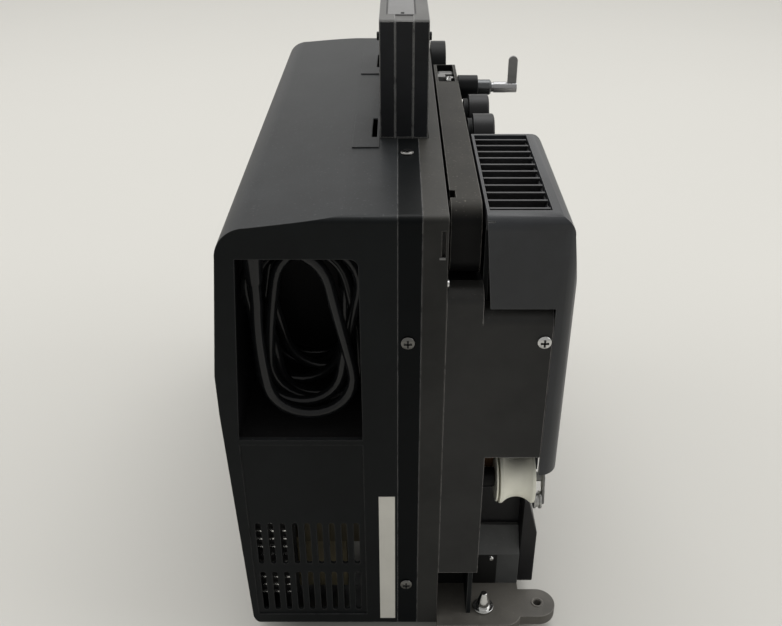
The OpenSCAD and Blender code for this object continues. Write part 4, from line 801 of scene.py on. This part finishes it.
handleStrips = {"near": 116.0, "far": 306.0, "thick": 0.3, "low": 0.6, "high": 70.0,
                "across": [(-10.3, -1.9), (-0.9, 8.9), (9.9, 18.3)],
                "inset": 0.6,   # the middle strip lies on the core
                "grooveShade": [((-6.7, 131.0, 70.9), (-6.0, 291.0, 71.06)),
                            ((10.4, 131.0, 70.9), (11.1, 291.0, 71.06))]}


def makeHandleStrips(strips):
    blocks = []
    for x0, x1 in strips["across"]:
        inset = strips["inset"] if -2 < x0 < 9 else 0.0
        near, far = strips["near"] + inset, strips["far"] - inset
        blocks.append(((x0, near - strips["thick"], strips["low"]), (x1, near, strips["high"])))
        blocks.append(((x0, far, strips["low"]), (x1, far + strips["thick"], strips["high"])))
    addBlocks("handleStrips", blocks, "handleCrinkle", "handle")
    # thin black strips along the inlay's sides: painted shade in the grooves
    addBlocks("inlayGrooveShade", strips["grooveShade"], "blackAndPaintedShade", "handle")


makeHandleStrips(handleStrips)

# two corners of each block; the slot is the one whose material it shares
trim = {
    "labelStrip": {"blocks": [((-11.6, -0.3, -297.0), (-1.6, 0.0, -188.0))],
                   "finish": "labelWhite", "body": "chassis", "slot": "roller_nylon"},
    "wellLever": {"blocks": [((31.0, 267.5, -10.0), (42.6, 275.5, -3.4))],
                  "finish": "blockGrey", "body": "rear_arm", "slot": "block_grey", "edge": 0.0012},
    "latchLip": {"blocks": [((21.8, -0.2, -24.2), (25.0, 0.6, -22.9))],
                 "finish": "inlayMetal", "body": "chassis", "slot": "inlay_metal"},
    # black sheets: painted shade in the gap between frame and film plate and beside the screw
    "sillShadeSheets": {"blocks": [((26.6, 29.3, -295.9), (46.4, 30.8, -256.0)),    # between frame and film plate
                              ((49.6, 29.2, -295.7), (68.8, 29.5, -268.8))],   # beside the screw
                   "finish": "blackAndPaintedShade", "body": "chassis", "slot": "bay_black"},
    "rollerStrip": {"blocks": [((49.6, 30.0, -190.0), (61.4, 33.0, -181.0))],
                    "finish": "stripBrown", "body": "chassis", "slot": "board_brown", "edge": 0.0006},
    "rollerStripLip": {"blocks": [((49.6, 29.6, -191.0), (61.4, 33.0, -190.0))],
                       "finish": "ceramic", "body": "chassis", "slot": "ceramic"},
    # black sheet: painted shade in the dark gap beside the roller
    "gapShadeSheet": {"blocks": [((84.0, 44.0, -204.0), (93.0, 45.5, -169.0))],
                   "finish": "plateBlack", "body": "lamphouse", "slot": "lamphouse_grey"},
}
for name, strip in trim.items():
    addBlocks(name, strip["blocks"], strip["finish"], strip["body"], strip.get("edge", 0.0))
print("strips, plates and label laid")


# Eyelet pressed into the hole of the base plate's lug

lugEyelet = {"centre": (96.0, 12.0), "top": -296.0, "inner": 2.6, "outer": 4.4, "lip": 0.6, "edge": 0.5,
             "steps": 36}


def makeEyelet(ring):
    high = ring["top"] + ring["lip"]
    low = ring["top"] - ring["edge"]
    profile = [(ring["inner"], low), (ring["outer"], low), (ring["outer"], ring["top"]),
               (ring["outer"] - ring["edge"], high), (ring["inner"] + ring["edge"], high),
               (ring["inner"], ring["top"])]
    cx, cy = ring["centre"]
    build = bmesh.new()
    loops = []
    for step in range(ring["steps"]):
        turn = 2 * math.pi * step / ring["steps"]
        across, along = math.cos(turn), math.sin(turn)
        loops.append([build.verts.new(spot(cx + radius * across, cy + radius * along, height))
                      for radius, height in profile])
    for step, loop in enumerate(loops):
        after = loops[(step + 1) % len(loops)]
        for point in range(len(profile)):
            following = (point + 1) % len(profile)
            build.faces.new((loop[point], after[point], after[following], loop[following]))
    bmesh.ops.recalc_face_normals(build, faces=build.faces)
    mesh = bpy.data.meshes.new("lugEyelet")
    build.to_mesh(mesh)
    build.free()
    piece = bpy.data.objects.new("lugEyelet", mesh)
    bpy.context.scene.collection.objects.link(piece)
    mesh.materials.append(looks["basePaint"])
    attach(piece, "chassis")


makeEyelet(lugEyelet)
print("eyelet set")


# Floor

def makeFloor():
    mesh = bpy.data.meshes.new("studioFloor")
    build = bmesh.new()
    bmesh.ops.create_circle(build, cap_ends=True, segments=96, radius=studio["floorRadius"])
    build.to_mesh(mesh)
    build.free()
    floor = bpy.data.objects.new("studioFloor", mesh)
    bpy.context.scene.collection.objects.link(floor)
    paper = bpy.data.materials.new("studioPaper")
    paper.use_nodes = True
    tree = paper.node_tree
    shader = tree.nodes["Principled BSDF"]
    place = addNode(tree, "ShaderNodeTexCoord").outputs["Object"]
    pale = tuple(channel * studio["floorDrift"] for channel in studio["floorColour"])
    colour = mixColour(tree, noiseNode(tree, place, 2.2, 3.0), studio["floorColour"], pale)
    tree.links.new(colour, shader.inputs["Base Color"])
    shader.inputs["Roughness"].default_value = studio["floorRough"]
    shader.inputs["Specular IOR Level"].default_value = studio["floorShine"]
    floor.data.materials.append(paper)


makeFloor()
